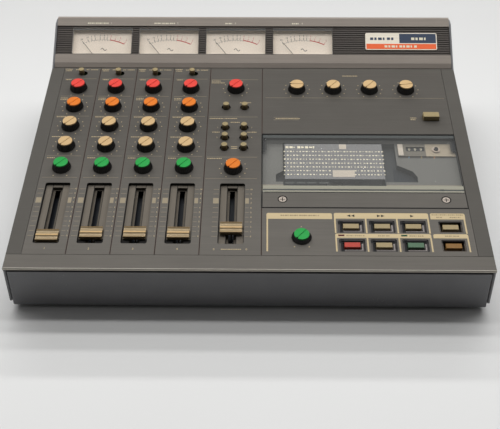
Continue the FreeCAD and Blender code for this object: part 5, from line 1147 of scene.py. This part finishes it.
@dataclass(frozen=True)
class TransportMarks:
    """Tan headers and lines round the pitch knob and the transport keys, with black arrows on the headers.

    Attributes:
        headers, corner: Spans of each printed header, and the radius of its upper corners.
        upright: Width of the upright lines.
        upright_xs, upright_ups: Places and spans of the lines between the keys.
        right_line_x, right_line_ups: Place and spans of the line on the right.
        left_line_x, left_line_up: Place and span of the line left of the pitch knob.
        arrows: Middle of each arrow, and 1 for forwards or -1 for backwards.
        arrow_up, arrow_size: Middle line and size of the arrows.
        legends: Span, middle line and height of each run of marks on a header.
        pitch_knob, pitch_dot: The pitch knob's shaft, and the radius of the dot above it.
        dial: Scale of the pitch knob.
    """

    headers: tuple[Patch, ...] = (
        ((16.3, 80.4), (65.9, 73.8)), ((82.2, 174.4), (66.6, 74.2)), ((176.2, 210.0), (66.2, 74.2)),
        ((82.3, 174.2), (41.2, 46.6)), ((176.2, 209.6), (41.2, 46.6)))
    corner: float = 1.8
    upright: float = 1.5
    upright_xs: tuple[float, ...] = (82.95, 112.9, 143.2, 173.6)
    upright_ups: tuple[Span, ...] = ((23.6, 41.2), (47.4, 66.6))
    right_line_x: float = 208.9
    right_line_ups: tuple[Span, ...] = ((23.6, 41.2), (47.4, 66.2))
    left_line_x: float = 17.1
    left_line_up: Span = (23.6, 65.9)
    arrows: tuple[tuple[float, int], ...] = ((96.6, -1), (100.6, -1), (126.0, 1), (130.0, 1), (158.4, 1))
    legends: tuple[tuple[Span, float, float], ...] = (
        ((30.1, 67.5), 70.6, 1.5), ((177.8, 209.0), 72.2, 1.3), ((182.0, 187.6), 68.8, 1.3),
        ((195.0, 205.4), 68.8, 1.3), ((93.0, 110.8), 44.0, 1.3), ((123.3, 134.2), 44.0, 1.3),
        ((153.4, 167.1), 44.0, 1.3), ((187.4, 200.8), 44.0, 1.3))
    arrow_up: float = 70.4
    arrow_size: float = 3.4
    pitch_knob: Point = (50.0, 41.5)
    pitch_dot: float = 0.5
    dial: DialScale = DialScale()

    def build(self) -> list[bpy.types.Object]:
        """Draw headers, lines, legends and arrows.

        Returns:
            The finished pieces.
        """
        tan, black, legends = Draft(PANEL), Draft(PANEL), Draft(PANEL)
        for (x0, x1), (low, high) in self.headers:
            outline = rounded((x0 + x1) / 2, (low + high) / 2, x1 - x0, high - low, self.corner)
            upper = [point for point in outline if point[1] > (low + high) / 2]
            tan.prism([*upper, (x0, low), (x1, low)], 0.0, INK)
        lines = [(x, up) for x in self.upright_xs for up in self.upright_ups]
        lines += [(self.right_line_x, up) for up in self.right_line_ups]
        lines.append((self.left_line_x, self.left_line_up))
        for x, up in lines:
            tan.bar((x - self.upright / 2, x + self.upright / 2), up)
        half = self.arrow_size / 2
        for x, way in self.arrows:
            points = [(x + way * half, self.arrow_up), (x - way * half, self.arrow_up + half),
                      (x - way * half, self.arrow_up - half)][::way]
            black.prism(points, INK, 2 * INK)
        for x, up, height in self.legends:
            legends.dash_run(x, up, height, INK)
        knob_x, knob_up = self.pitch_knob
        self.dial.draw(tan, knob_x, knob_up, ends_only=True)
        tan.disc(knob_x, knob_up + self.dial.radius, self.pitch_dot)
        return [tan.piece("transport_headers", TAN_INK, Body.CHASSIS, Slot.TAN_PLASTIC),
                legends.piece("transport_legends", HEADER_INK, Body.CHASSIS, Slot.BLACK_PLASTIC),
                black.piece("transport_arrows", BLACK_INK, Body.CHASSIS, Slot.BLACK_PLASTIC)]


# ---------------------------------------------------------------- level meters


@dataclass(frozen=True)
class LevelMeters:
    """Four moving-coil level meters in the bridge's windows.

    Attributes:
        first_x, pitch, count: Places of the meters across the bridge.
        up: Middle of a meter up the bridge's slope.
        width, length: Outer sizes of its case.
        face: Height of its front above the bridge's face.
        depth: Depth of the case.
        wall: Wall of the case.
        case_corner, window_corner: Corner radii outside and inside.
        card, card_gap: Thickness of the dial's card, and the gap between case and card or clear front.
        dial_depth: Depth of the dial below the front.
        lens: Thickness of the clear front.
        hood, hood_line, hood_gap: Widths of the painted strip behind its upper edge and of the painted shade
            line
        under it, and their gap to the case.
        movement: Radius and depth of the round movement behind the case.
        scale_radius, scale_up: Radius and centre of the printed scale.
        figures: Distance across and figure of each mark.
        hot: Where the red part of the scale starts.
        arc_start, arc_step, arc_points: Points of the black arc.
        band_step, band_points, band_out: Points of the red band, and its distance from the arc.
        tick_start, tick_step, tick_count: Places of the small ticks under the arc.
        tick_out, mark_out, hot_mark_out: Ends of the ticks, long marks and red marks, out from the arc.
        wave_x, wave_up, wave_half, wave_rise, wave_points: The sine wave: middle, half width and height.
        arc_line, band_line, mark_line, tick_line, wave_line: Widths of the printed lines.
        figure_out, figure_height: Distance of the figures from the arc, and their height.
        pivot_x, pivot_up, reach, rest: The needle's pivot, length and angle at rest.
        needle_line, needle_up, needle_depth: The needle's width, height above the dial and thickness.
    """

    first_x: float = -174.7
    pitch: float = 77.55
    count: int = 4
    up: float = 36.3
    width: float = 69.6
    length: float = 34.2
    face: float = -0.7
    depth: float = 9.0
    wall: float = 0.6
    case_corner: float = 1.0
    window_corner: float = 0.5
    card: float = 0.5
    card_gap: float = 0.05
    dial_depth: float = 5.0
    lens: float = 1.2
    hood: float = 1.7
    hood_line: float = 0.45
    hood_gap: float = 0.1
    movement: tuple[float, float] = (13.0, 14.0)
    scale_radius: float = 56.0
    scale_up: float = -15.9
    figures: tuple[tuple[float, str], ...] = (
        (-22.6, "20"), (-16.8, "10"), (-12.6, "7"), (-8.8, "5"), (-3.2, "3"), (1.2, "2"), (4.6, "1"),
        (8.6, "0"), (13.6, "1"), (18.6, "2"), (24.8, "3"))
    hot: float = 8.6
    arc_start: float = -23.0
    arc_step: float = 1.5
    arc_points: int = 22
    band_step: float = 1.35
    band_points: int = 13
    band_out: float = 0.3
    tick_start: float = -22.6
    tick_step: float = 3.12
    tick_count: int = 11
    tick_out: Span = (-0.1, -1.3)
    mark_out: Span = (0.0, 3.6)
    hot_mark_out: Span = (0.6, 3.6)
    wave_x: float = 1.4
    wave_up: float = 27.6
    wave_half: float = 3.4
    wave_rise: float = 1.5
    wave_points: int = 16
    arc_line: float = 0.16
    band_line: float = 1.05
    mark_line: float = 0.42
    tick_line: float = 0.28
    wave_line: float = 0.62
    figure_out: float = 5.6
    figure_height: float = 2.0
    pivot_x: float = 0.5
    pivot_up: float = 6.3
    reach: float = 37.2
    rest: float = 127.8
    needle_line: float = 0.5
    needle_up: float = 1.6
    needle_depth: float = 0.3

    def xs(self) -> list[float]:
        """Middle of each meter."""
        return [self.first_x + self.pitch * i for i in range(self.count)]

    def inner(self, x: float, gap: float = 0.0) -> list[Point]:
        """Outline of the case's opening, made smaller by a gap."""
        less = 2 * self.wall + 2 * gap
        return rounded(x, self.up, self.width - less, self.length - less, self.window_corner)

    def on_scale(self, x: float, across: float, out: float) -> Point:
        """Find a point of the dial.

        Args:
            x: Middle of the meter.
            across: Distance across from the middle, along the arc's radius.
            out: Distance out from the arc.

        Returns:
            The point on the bridge's face.
        """
        angle = math.asin(across / self.scale_radius)
        radius = self.scale_radius + out
        return x + radius * math.sin(angle), self.scale_up + radius * math.cos(angle)

    def cases(self) -> bpy.types.Object:
        """Build moulded cases with their open fronts and the round movements behind.

        Returns:
            The piece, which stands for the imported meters.
        """
        draft = Draft(BRIDGE)
        back = self.face - self.depth
        radius, depth = self.movement
        for x in self.xs():
            outer = rounded(x, self.up, self.width, self.length, self.case_corner)
            draft.ring(outer, self.inner(x), back, self.face)
            draft.prism(self.inner(x), back, self.face - self.dial_depth - self.card)
            draft.disc(x, self.up, radius, back - depth, back, sides=40)
        piece = draft.piece("meter_cases", METER_CASE, Body.CHASSIS, Slot.METER_PLASTIC)
        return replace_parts(piece, "vu_meters")

    def dials(self) -> bpy.types.Object:
        """Build the printed cards at the bottom of the cases.

        Returns:
            The piece.
        """
        draft = Draft(BRIDGE)
        top = self.face - self.dial_depth
        for x in self.xs():
            draft.prism(self.inner(x, self.card_gap), top - self.card, top)
        return draft.piece("meter_dials", DIAL_CARD, Body.CHASSIS, Slot.METER_PLASTIC)

    def print_arcs(self, black: Draft, red: Draft, x: float, low: float) -> None:
        """Add the black arc, the red band, the small ticks and the sine wave of one dial.

        Args:
            black, red: Drawings for the two inks.
            x: Middle of the meter.
            low: Height of the card.
        """
        high = low + INK
        arc = [self.on_scale(x, self.arc_start + self.arc_step * i, 0.0) for i in range(self.arc_points)]
        black.stroke(arc, self.arc_line, low, high)
        band = [self.on_scale(x, self.hot + self.band_step * i, self.band_out)
                for i in range(self.band_points)]
        red.stroke(band, self.band_line, low, high)
        for i in range(self.tick_count):
            across = self.tick_start + self.tick_step * i
            black.stroke([self.on_scale(x, across, out) for out in self.tick_out], self.tick_line, low, high)
        turns = [i / self.wave_points for i in range(self.wave_points + 1)]
        black.stroke([(x + self.wave_x + self.wave_half * (2 * turn - 1),
                       self.wave_up + self.wave_rise * math.sin(2 * math.pi * turn)) for turn in turns],
                     self.wave_line, low, high)

    def print_figures(self, black: Draft, red: Draft, x: float, low: float) -> None:
        """Add the long marks of one dial and their figures.

        Args:
            black, red: Drawings for the two inks.
            x: Middle of the meter.
            low: Height of the card.
        """
        for across, figure in self.figures:
            hot = across >= self.hot
            draft, ends = (red, self.hot_mark_out) if hot else (black, self.mark_out)
            draft.stroke([self.on_scale(x, across, out) for out in ends], self.mark_line, low, low + INK)
            draft.figures(figure, *self.on_scale(x, across, self.figure_out), self.figure_height, low)

    def scales(self) -> list[bpy.types.Object]:
        """Print the black and red scales with their figures.

        Returns:
            One piece for each ink.
        """
        black, red = Draft(BRIDGE), Draft(BRIDGE)
        low = self.face - self.dial_depth
        for x in self.xs():
            self.print_arcs(black, red, x, low)
            self.print_figures(black, red, x, low)
        return [black.piece("meter_scales", BLACK_INK, Body.CHASSIS, Slot.METER_PLASTIC),
                red.piece("meter_overload_scales", RED_INK, Body.CHASSIS, Slot.METER_PLASTIC)]

    def needles(self) -> bpy.types.Object:
        """Build thin hands, resting at the left end of the scale, that rise from behind the lower wall.

        Returns:
            The piece.
        """
        draft = Draft(BRIDGE)
        low = self.face - self.dial_depth + self.needle_up
        angle = math.radians(self.rest)
        foot = self.up - self.length / 2 + self.wall
        start = (foot - self.pivot_up) / math.sin(angle)
        for x in self.xs():
            line = [(x + self.pivot_x + reach * math.cos(angle), self.pivot_up + reach * math.sin(angle))
                    for reach in (start, (start + self.reach) / 2, self.reach)]
            draft.stroke(line, self.needle_line, low, low + self.needle_depth)
        return draft.piece("meter_needles", BLACK_INK, Body.CHASSIS, Slot.METER_PLASTIC)

    def hoods(self) -> list[bpy.types.Object]:
        """Paint strips behind the upper edge of each clear front, with a painted shade line under them.

        Returns:
            The strips and the lines.
        """
        pale, dark = Draft(BRIDGE), Draft(BRIDGE)
        top = self.up + self.length / 2 - self.wall - self.hood_gap
        half = self.width / 2 - self.wall - self.hood_gap
        high = self.face - self.lens - self.hood_gap
        for x in self.xs():
            across = (x - half, x + half)
            pale.bar(across, (top - self.hood, top), high - INK, high)
            # Painted shade in the corner under the hood strip.
            dark.bar(across, (top - self.hood - self.hood_line, top - self.hood), high - INK, high)
        return [pale.piece("meter_hoods", HOOD_PAINT, Body.CHASSIS, Slot.METER_PLASTIC),
                dark.piece("meter_hood_shade_lines", SHADE_LINE_INK, Body.CHASSIS, Slot.METER_PLASTIC)]

    def lenses(self) -> bpy.types.Object:
        """Build the clear fronts, set flush in the cases.

        Returns:
            The piece.
        """
        draft = Draft(BRIDGE)
        for x in self.xs():
            draft.prism(self.inner(x, self.card_gap), self.face - self.lens, self.face)
        return draft.piece("meter_lenses", METER_ACRYLIC, Body.CHASSIS, Slot.METER_PLASTIC)

    def build(self) -> list[bpy.types.Object]:
        """Build every piece of the meters."""
        return [self.cases(), self.dials(), *self.scales(), self.needles(), *self.hoods(), self.lenses()]


# ---------------------------------------------------------------- cassette bay

# Uneven widths and heights of a row's marks, as shares of the full size.
MARK_WIDTHS = (1.0, 0.8, 0.95, 1.05, 0.45)
MARK_HEIGHTS = (1.0, 0.75, 0.95, 0.6, 1.0, 0.85, 0.4)


@dataclass(frozen=True)
class WindowFilm:
    """Printed film on the underside of the lid's window, with rows of plain marks.

    Attributes:
        x, up: Spans of the film.
        under: Height of its upper face, just below the window.
        sheet: Its thickness.
        rows: Places of the rows of marks up the slope.
        row_x: Span of a full row.
        mark: Width, height and pitch of a row's marks.
        title: Span of the short row above them and its place.
        title_mark: Width, height and pitch of its marks.
        labels: Pale labels stuck on the film.
        notch: Dark patch behind the upper label.
        edge_x: Span of the painted highlight and shade lines along the window's edges.
            pale_edges, dark_edges: Places up the slope of the painted highlights and of the painted shade
                lines.
        hinge_shades: Dark patches over the hinge arms.
        rib_shades: Patches of painted shade over the gaps between the deck's ribs.
        rim: Spans of the painted shade round the lid, along its gap to the panel.
        rim_width: Width of its lines.
    """

    x: Span = (35.3, 137.5)
    up: Span = (124.9, 178.0)
    under: float = -2.68
    sheet: float = 0.12
    rows: tuple[float, ...] = (166.2, 160.3, 154.4, 148.5, 142.8, 137.1, 131.4)
    row_x: Span = (34.3, 140.6)
    mark: Size = (1.9, 1.7, 3.3)
    title: tuple[Span, float] = ((36.4, 69.4), 172.8)
    title_mark: Size = (3.2, 3.5, 4.1)
    labels: tuple[Patch, ...] = (((92.7, 100.2), (170.2, 177.4)), ((84.3, 106.8), (128.0, 137.9)))
    notch: Patch = ((92.6, 102.5), (179.0, 183.2))
    edge_x: Span = (12.6, 214.4)
    pale_edges: tuple[Span, ...] = ((107.7, 112.3), (103.4, 105.2))
    dark_edges: tuple[Span, ...] = ((105.6, 107.3), (184.6, 188.6))
    hinge_shades: tuple[Patch, ...] = (((13.4, 16.7), (167.7, 184.3)), ((209.7, 213.4), (167.3, 182.1)))
    rib_shades: tuple[Patch, ...] = (
        ((35.5, 44.5), (118.0, 120.4)), ((46.9, 55.9), (118.0, 120.4)), ((57.8, 67.1), (118.0, 120.4)),
        ((70.0, 80.0), (118.0, 120.4)), ((72.8, 86.0), (113.8, 115.4)), ((88.7, 106.4), (113.8, 115.4)),
        ((110.8, 123.0), (113.8, 115.4)))
    rim: Patch = ((11.95, 215.25), (81.55, 190.05))
    rim_width: float = 0.5

    def on_label(self, x: float, up: float, mark: Size) -> bool:
        """Whether a mark that starts at x would touch one of the labels."""
        return any(a[0] - mark[0] < x < a[1] and b[0] - mark[1] < up < b[1] + mark[1] for a, b in self.labels)

    def row(self, draft: Draft, x: Span, up: float, mark: Size, seed: int) -> None:
        """Add a row of separate small marks of uneven size.

        Args:
            draft: Drawing that they go into.
            x: Span of the row.
            up: Middle line of the row.
            mark: Width, height and pitch of the marks.
            seed: Where the run of sizes starts.
        """
        width, tall, pitch = mark
        top = self.under - INK
        for i in range(int((x[1] - x[0]) / pitch)):
            place = x[0] + pitch * i
            if self.on_label(place, up, mark):
                continue
            wide = width * MARK_WIDTHS[(i + seed) % len(MARK_WIDTHS)]
            high = tall * MARK_HEIGHTS[(i + 2 * seed) % len(MARK_HEIGHTS)]
            draft.bar((place, place + wide), (up - high / 2, up + high / 2), top, top + INK)

    def edges(self) -> list[bpy.types.Object]:
        """Paint highlights and shade along the window's edges, dark patches, and shade round the lid.

        Returns:
            The pieces of paint.
        """
        pale, shade, outline = Draft(PANEL), Draft(PANEL), Draft(PANEL)
        for up in self.pale_edges:
            # Painted highlight along the window's edges.
            pale.bar(self.edge_x, up)
        for up in self.dark_edges:
            # Painted shade along the window's edges.
            shade.bar(self.edge_x, up)
        for x, up in self.rib_shades:
            # Painted shade over the gaps between the deck's ribs.
            shade.bar(x, up, self.under - INK, self.under)
        for x, up in (*self.hinge_shades, self.notch):
            outline.bar(x, up, self.under - INK, self.under)
        # Painted shade round the lid, along its gap to the panel.
        outline.border(*self.rim, self.rim_width)
        return [pale.piece("window_edge_highlights", EDGE_HIGHLIGHT_PAINT, Body.LID, Slot.WINDOW_ACRYLIC),
                shade.piece("window_shades", SHADE_PAINT, Body.LID, Slot.WINDOW_ACRYLIC),
                outline.piece("lid_black_shades", BLACK_SHADE_INK, Body.LID, Slot.BLACK_PLASTIC)]

    def build(self) -> list[bpy.types.Object]:
        """Build the film, its marks, its labels, and the painted highlights and shade at the window's edges.

        Returns:
            The finished pieces.
        """
        film, marks, labels = Draft(PANEL), Draft(PANEL), Draft(PANEL)
        low = self.under - self.sheet
        film.prism(box_outline(*self.x, *self.up), low - INK, low)
        for number, up in enumerate(self.rows):
            self.row(marks, self.row_x, up, self.mark, 3 * number + 1)
        self.row(marks, *self.title, self.title_mark, 2)
        for x, span in self.labels:
            labels.bar(x, span, self.under - INK, self.under)
        return [film.piece("window_film", FILM, Body.LID, Slot.WINDOW_ACRYLIC),
                marks.piece("window_film_marks", PALE_INK, Body.LID, Slot.WINDOW_ACRYLIC),
                labels.piece("window_labels", LABEL_PAPER, Body.LID, Slot.WINDOW_ACRYLIC), *self.edges()]


@dataclass(frozen=True)
class CounterFace:
    """Figures of the tape counter and the pale block beside its window.

    Attributes:
        first_x: Left edge of the first figure wheel.
        wheel, wheels: Width and number of the wheels.
        up, figure_height: Middle and height of the figures up the slope.
        top: Height of the wheels' crowns.
        block, corner, thickness: Spans, corner radius and thickness of the pale block.
        plate_top: Height of the plate that it stands on.
    """

    first_x: float = 164.0
    wheel: float = 6.1
    wheels: int = 3
    up: float = 173.8
    figure_height: float = 3.6
    top: float = -6.3
    block: Patch = ((154.9, 160.2), (163.6, 181.0))
    corner: float = 0.6
    thickness: float = 0.5
    plate_top: float = -5.6

    def build(self) -> list[bpy.types.Object]:
        """Build the figures and the block.

        Returns:
            The finished pieces.
        """
        figures, block = Draft(PANEL), Draft(PANEL)
        for i in range(self.wheels):
            figures.figures("0", self.first_x + self.wheel * (i + 0.5), self.up, self.figure_height, self.top)
        (x0, x1), (low, high) = self.block
        block.prism(rounded((x0 + x1) / 2, (low + high) / 2, x1 - x0, high - low, self.corner),
                    self.plate_top, self.plate_top + self.thickness)
        return [figures.piece("counter_figures", PALE_INK, Body.CHASSIS, Slot.BLACK_PLASTIC),
                block.piece("counter_block", LABEL_PAPER, Body.CHASSIS, Slot.BLACK_PLASTIC)]


@dataclass(frozen=True)
class BridgeMarks:
    """Marks above the meters and the coloured fields of the blank badge.

    Attributes:
        badge_top: Height of the badge's face on the bridge.
        border: Cream border round its fields.
        split: Share of the badge's width that stays cream in its upper row.
        foot: Share of its height taken by the lower field.
        navy_marks, cream_marks, foot_marks: Spans of the rows of marks in its fields, from their left end.
        mark_height, foot_mark_height: Heights of those marks.
        legend_up, legend_height: Middle line and height of the marks over the meters.
        legend_spans: Their spans from the middle of each meter.
        number_gap, number_height: Distance of a meter's number from its marks, and its height.
    """

    badge_top: float = -0.6
    border: float = 1.0
    split: float = 0.475
    foot: float = 0.34
    navy_marks: Span = (4.5, 31.5)
    cream_marks: Span = (52.0, 69.0)
    foot_marks: Span = (21.0, 58.0)
    mark_height: float = 3.2
    foot_mark_height: float = 2.8
    legend_up: float = 58.6
    legend_height: float = 1.5
    legend_spans: tuple[Span, ...] = ((-17.6, 6.4), (-17.6, 6.4), (-12.4, -4.0), (-12.4, -4.0))
    number_gap: float = 3.4
    number_height: float = 2.2

    def badge(self) -> list[bpy.types.Object]:
        """Print the fields of the badge and their marks.

        Returns:
            One piece for each ink.
        """
        navy, flame, cream = Draft(BRIDGE), Draft(BRIDGE), Draft(BRIDGE)
        half, tall = BADGE_HALF_WIDTH - self.border, BADGE_HALF_LENGTH - self.border
        left, right = BADGE_X - half, BADGE_X + half
        low, high = BADGE_UP - tall, BADGE_UP + tall
        step = low + (high - low) * self.foot
        face = self.badge_top
        navy.bar((left + (right - left) * self.split, right), (step + self.border, high), face, face + INK)
        flame.bar((left, right), (low, step), face, face + INK)
        for draft, (start, end), up, height, under in (
                (navy, self.navy_marks, (step + high) / 2, self.mark_height, face),
                (cream, self.cream_marks, (step + high) / 2, self.mark_height, face + INK),
                (cream, self.foot_marks, (low + step) / 2, self.foot_mark_height, face + INK)):
            draft.dash_run((left + start, left + end), up, height, under)
        return [cream.piece("badge_cream_marks", PALE_INK, Body.CHASSIS, Slot.METER_PLASTIC),
                navy.piece("badge_navy_field", NAVY_INK, Body.CHASSIS, Slot.METER_PLASTIC),
                flame.piece("badge_flame_field", FLAME_INK, Body.CHASSIS, Slot.METER_PLASTIC)]

    def build(self) -> list[bpy.types.Object]:
        """Build the marks over the meters and the badge's fields.

        Returns:
            The finished pieces.
        """
        marks = Draft(BRIDGE)
        for number, (x, (left, right)) in enumerate(zip(LevelMeters().xs(), self.legend_spans), 1):
            marks.dash_run((x + left, x + right), self.legend_up, self.legend_height)
            marks.figures(str(number), x + right + self.number_gap, self.legend_up, self.number_height)
        return [marks.piece("meter_marks", PALE_INK, Body.CHASSIS, Slot.TAN_PLASTIC), *self.badge()]


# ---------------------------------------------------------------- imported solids


@dataclass(frozen=True)
class Controls:
    """Knobs, faders, buttons and keys, sorted by the colour of their caps.

    Attributes:
        keys: Colour of each kind of transport key and the keys that have it.
        knobs: Colour of each kind of knob and the knobs that have it.
    """

    keys: tuple[tuple[str, tuple[str, ...]], ...] = (
        ("tan", ("rewind", "fast_forward", "play", "stop", "zero_return")), ("red", ("record",)),
        ("green", ("pause",)), ("brown", ("eject",)))
    knobs: tuple[tuple[str, tuple[str, ...]], ...] = (
        ("red", ("monitor", *(f"trim_{c}" for c in CHANNELS))),
        ("orange", ("aux_return", *(f"aux_{c}" for c in CHANNELS))),
        ("tan", (*(f"{row}_{c}" for row in ("treble", "bass") for c in CHANNELS),
                 *(f"cue_{number}" for number in range(1, 5)))),
        ("green", tuple(f"pan_{c}" for c in CHANNELS)))

    def dress(self) -> None:
        """Give every control its finish."""
        for kind, nodes in self.keys:
            plastic(f"{kind}_key_abs", COLOURS[f"key_{kind}"], 0.4).coat_node(*(f"key_{n}" for n in nodes))
        for kind, nodes in self.knobs:
            knob_finish(f"{kind}_cap_knob", kind).coat_node(*(f"knob_{n}" for n in nodes))
        knob_finish("low_green_cap_knob", "green", LOW_KNOB_HEIGHT).coat_node("knob_pitch")
        FADER_ABS.coat_node("fader_master", *(f"fader_{c}" for c in CHANNELS))
        TAN_SWITCH.coat_node("select_buttons", *(f"input_switch_{c}" for c in CHANNELS))
        plastic("tan_abs", COLOURS["button_tan"]).coat_node("nr_switch")
        plastic("black_abs", "#060607", 0.5).coat_node("counter_reset")


def dress_case() -> None:
    """Give the case, the panels, the lid, the deck and the connectors their finishes."""
    for finish, nodes in (
            (PANEL_METAL, ("control_panel",)), (BRIDGE_METAL, ("meter_housing",)),
            (CASE_ENAMEL, ("base_pan",)), (CHEEK_ENAMEL, ("side_cheeks",)), (FOOT_RUBBER, ("feet",)),
            (INSERT_PAINT, ("panel_inserts",)), (LID_METAL, ("lid_frame",)),
            (WINDOW_ACRYLIC, ("lid_window",)), (DECK_ABS, ("tape_deck", "deck_moulding")),
            (CONNECTOR, ("rear_jacks",)), (CIRCUITS, ("electronics",))):
        finish.coat_node(*nodes)
        LOG.info("%s on %s", finish.name, ", ".join(nodes))


# ---------------------------------------------------------------- floor, lamps and camera


@dataclass(frozen=True)
class TubeRow:
    """A row of tubes behind and above the recorder, parallel to its front.

    Attributes:
        elevation: Its angle above level, in degrees, seen from the recorder's front edge.
        watts: Its power.
        mirrored: Whether polished surfaces show it; a flag keeps the others off them.
        height: Metres above the floor.
        length, width: Sizes of the row, in metres.
        edge: The front edge's place and height, in metres.
    """

    elevation: float
    watts: float
    mirrored: bool = True
    height: float = 1.5
    length: float = 3.6
    width: float = 0.12
    edge: tuple[float, float] = (-0.185, 0.05)

    def build(self, number: int) -> None:
        """Add the row as one lamp.

        Args:
            number: Its number from the front.
        """
        rise = self.height - self.edge[1]
        away = rise / math.tan(math.radians(self.elevation))
        light = bpy.data.lights.new(f"tube_row_{number}", "AREA")
        light.shape = "RECTANGLE"
        light.size, light.size_y = self.length, self.width
        light.energy = self.watts
        lamp = bpy.data.objects.new(light.name, light)
        lamp.location = (0.0, self.edge[0] + away, self.height)
        lamp.rotation_euler = (-math.atan2(away, rise), 0.0, 0.0)
        lamp.visible_camera = False
        lamp.visible_glossy = self.mirrored
        bpy.context.scene.collection.objects.link(lamp)


@dataclass(frozen=True)
class Studio:
    """Pale floor, rows of tubes behind and above, a room that is darker in front, and the camera.

    Attributes:
        floor: Floor colour.
        floor_half: Half the floor's side, in metres.
        floor_fade: Where along y, in metres, the floor starts and stops to darken, and the share left.
        front, back: Brightness of the room in front of the recorder and behind it.
        turnover: Directions along y, from -1 to 1, between which the one passes into the other.
        rows: The rows of tubes.
        camera: The camera's place, in millimetres.
        yaw, pitch, roll: Its direction in degrees: right of +y, below level, and clockwise.
        focal: Focal length for a sensor 36 mm wide.
        shift_x: Sideways shift of the picture.
    """

    floor: str = "#d3d3d2"
    floor_half: float = 4.0
    floor_fade: tuple[float, float, float] = (-0.25, 0.7, 0.66)
    front: float = 0.06
    back: float = 0.36
    turnover: Span = (-0.7, 0.5)
    rows: tuple[TubeRow, ...] = (
        TubeRow(74.0, 12.0), TubeRow(59.0, 18.0, mirrored=False), TubeRow(45.0, 19.3, mirrored=False),
        TubeRow(32.0, 38.0, mirrored=False))
    camera: tuple[float, float, float] = (12.59, -833.33, 668.36)
    yaw: float = -0.868
    pitch: float = 40.164
    roll: float = -0.265
    focal: float = 69.168
    shift_x: float = -0.0031

    def add_floor(self) -> None:
        """Add the floor."""
        half = self.floor_half / MM
        draft = bmesh.new()
        corners = [draft.verts.new(LEVEL.point(x, y)) for x, y in box_outline(-half, half, -half, half)]
        draft.faces.new(corners)
        data = bpy.data.meshes.new("studio_floor")
        draft.to_mesh(data)
        draft.free()
        # Backdrop paper: matt, with a faint unevenness half a metre wide.
        paper = Finish("paper_backdrop", self.floor, 0.8, fade=self.floor_fade,
                       grains=(Grain((400.0, 400.0, 400.0), contrast=0.012),))
        data.materials.append(paper.material())
        floor = bpy.data.objects.new("studio_floor", data)
        bpy.context.scene.collection.objects.link(floor)

    def add_room(self) -> None:
        """Add the even light of the room, which fades towards the front."""
        world = bpy.data.worlds.new("studio_room")
        world.use_nodes = True
        tree = world.node_tree
        way = add_node(tree, "ShaderNodeTexCoord")
        axes = add_node(tree, "ShaderNodeSeparateXYZ", inputs={"Vector": way.outputs["Generated"]})
        level = add_node(tree, "ShaderNodeMapRange", {"interpolation_type": "SMOOTHSTEP"}, {
            "Value": axes.outputs["Y"], "From Min": self.turnover[0], "From Max": self.turnover[1],
            "To Min": self.front, "To Max": self.back})
        background = tree.nodes["Background"]
        background.inputs["Color"].default_value = (1.0, 1.0, 1.0, 1.0)
        tree.links.new(level.outputs["Result"], background.inputs["Strength"])
        bpy.context.scene.world = world

    def add_camera(self) -> None:
        """Add the camera."""
        data = bpy.data.cameras.new("camera")
        data.sensor_width = 36.0
        data.lens = self.focal
        data.shift_x = self.shift_x
        data.clip_start, data.clip_end = 0.05, 50.0
        camera = bpy.data.objects.new("camera", data)
        yaw, pitch, roll = (math.radians(a) for a in (self.yaw, self.pitch, self.roll))
        forward = Vector((math.sin(yaw) * math.cos(pitch), math.cos(yaw) * math.cos(pitch), -math.sin(pitch)))
        right = Vector((math.cos(yaw), -math.sin(yaw), 0.0))
        up = right.cross(forward)
        across = right * math.cos(roll) + up * math.sin(roll)
        upward = up * math.cos(roll) - right * math.sin(roll)
        turn = Matrix((across, upward, -forward)).transposed()
        camera.matrix_world = Matrix.Translation(Vector(self.camera) * MM) @ turn.to_4x4()
        bpy.context.scene.collection.objects.link(camera)
        bpy.context.scene.camera = camera

    def build(self) -> None:
        """Set up the studio and plain colour management."""
        bpy.context.scene.view_settings.view_transform = "Standard"
        self.add_floor()
        for number, row in enumerate(self.rows, 1):
            row.build(number)
        self.add_room()
        self.add_camera()


def main() -> None:
    """Dress the solids, build the scene's own pieces, and set up the studio."""
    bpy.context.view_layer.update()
    dress_case()
    Controls().dress()
    assemblies = (MixerMarks(), TransportMarks(), LevelMeters(), BridgeMarks(), WindowFilm(), CounterFace())
    pieces = [piece for assembly in assemblies for piece in assembly.build()]
    LOG.info("%d pieces built", len(pieces))
    Studio().build()


if __name__ == "__main__":
    logging.basicConfig(level=logging.INFO, format="%(name)s: %(message)s")
    main()
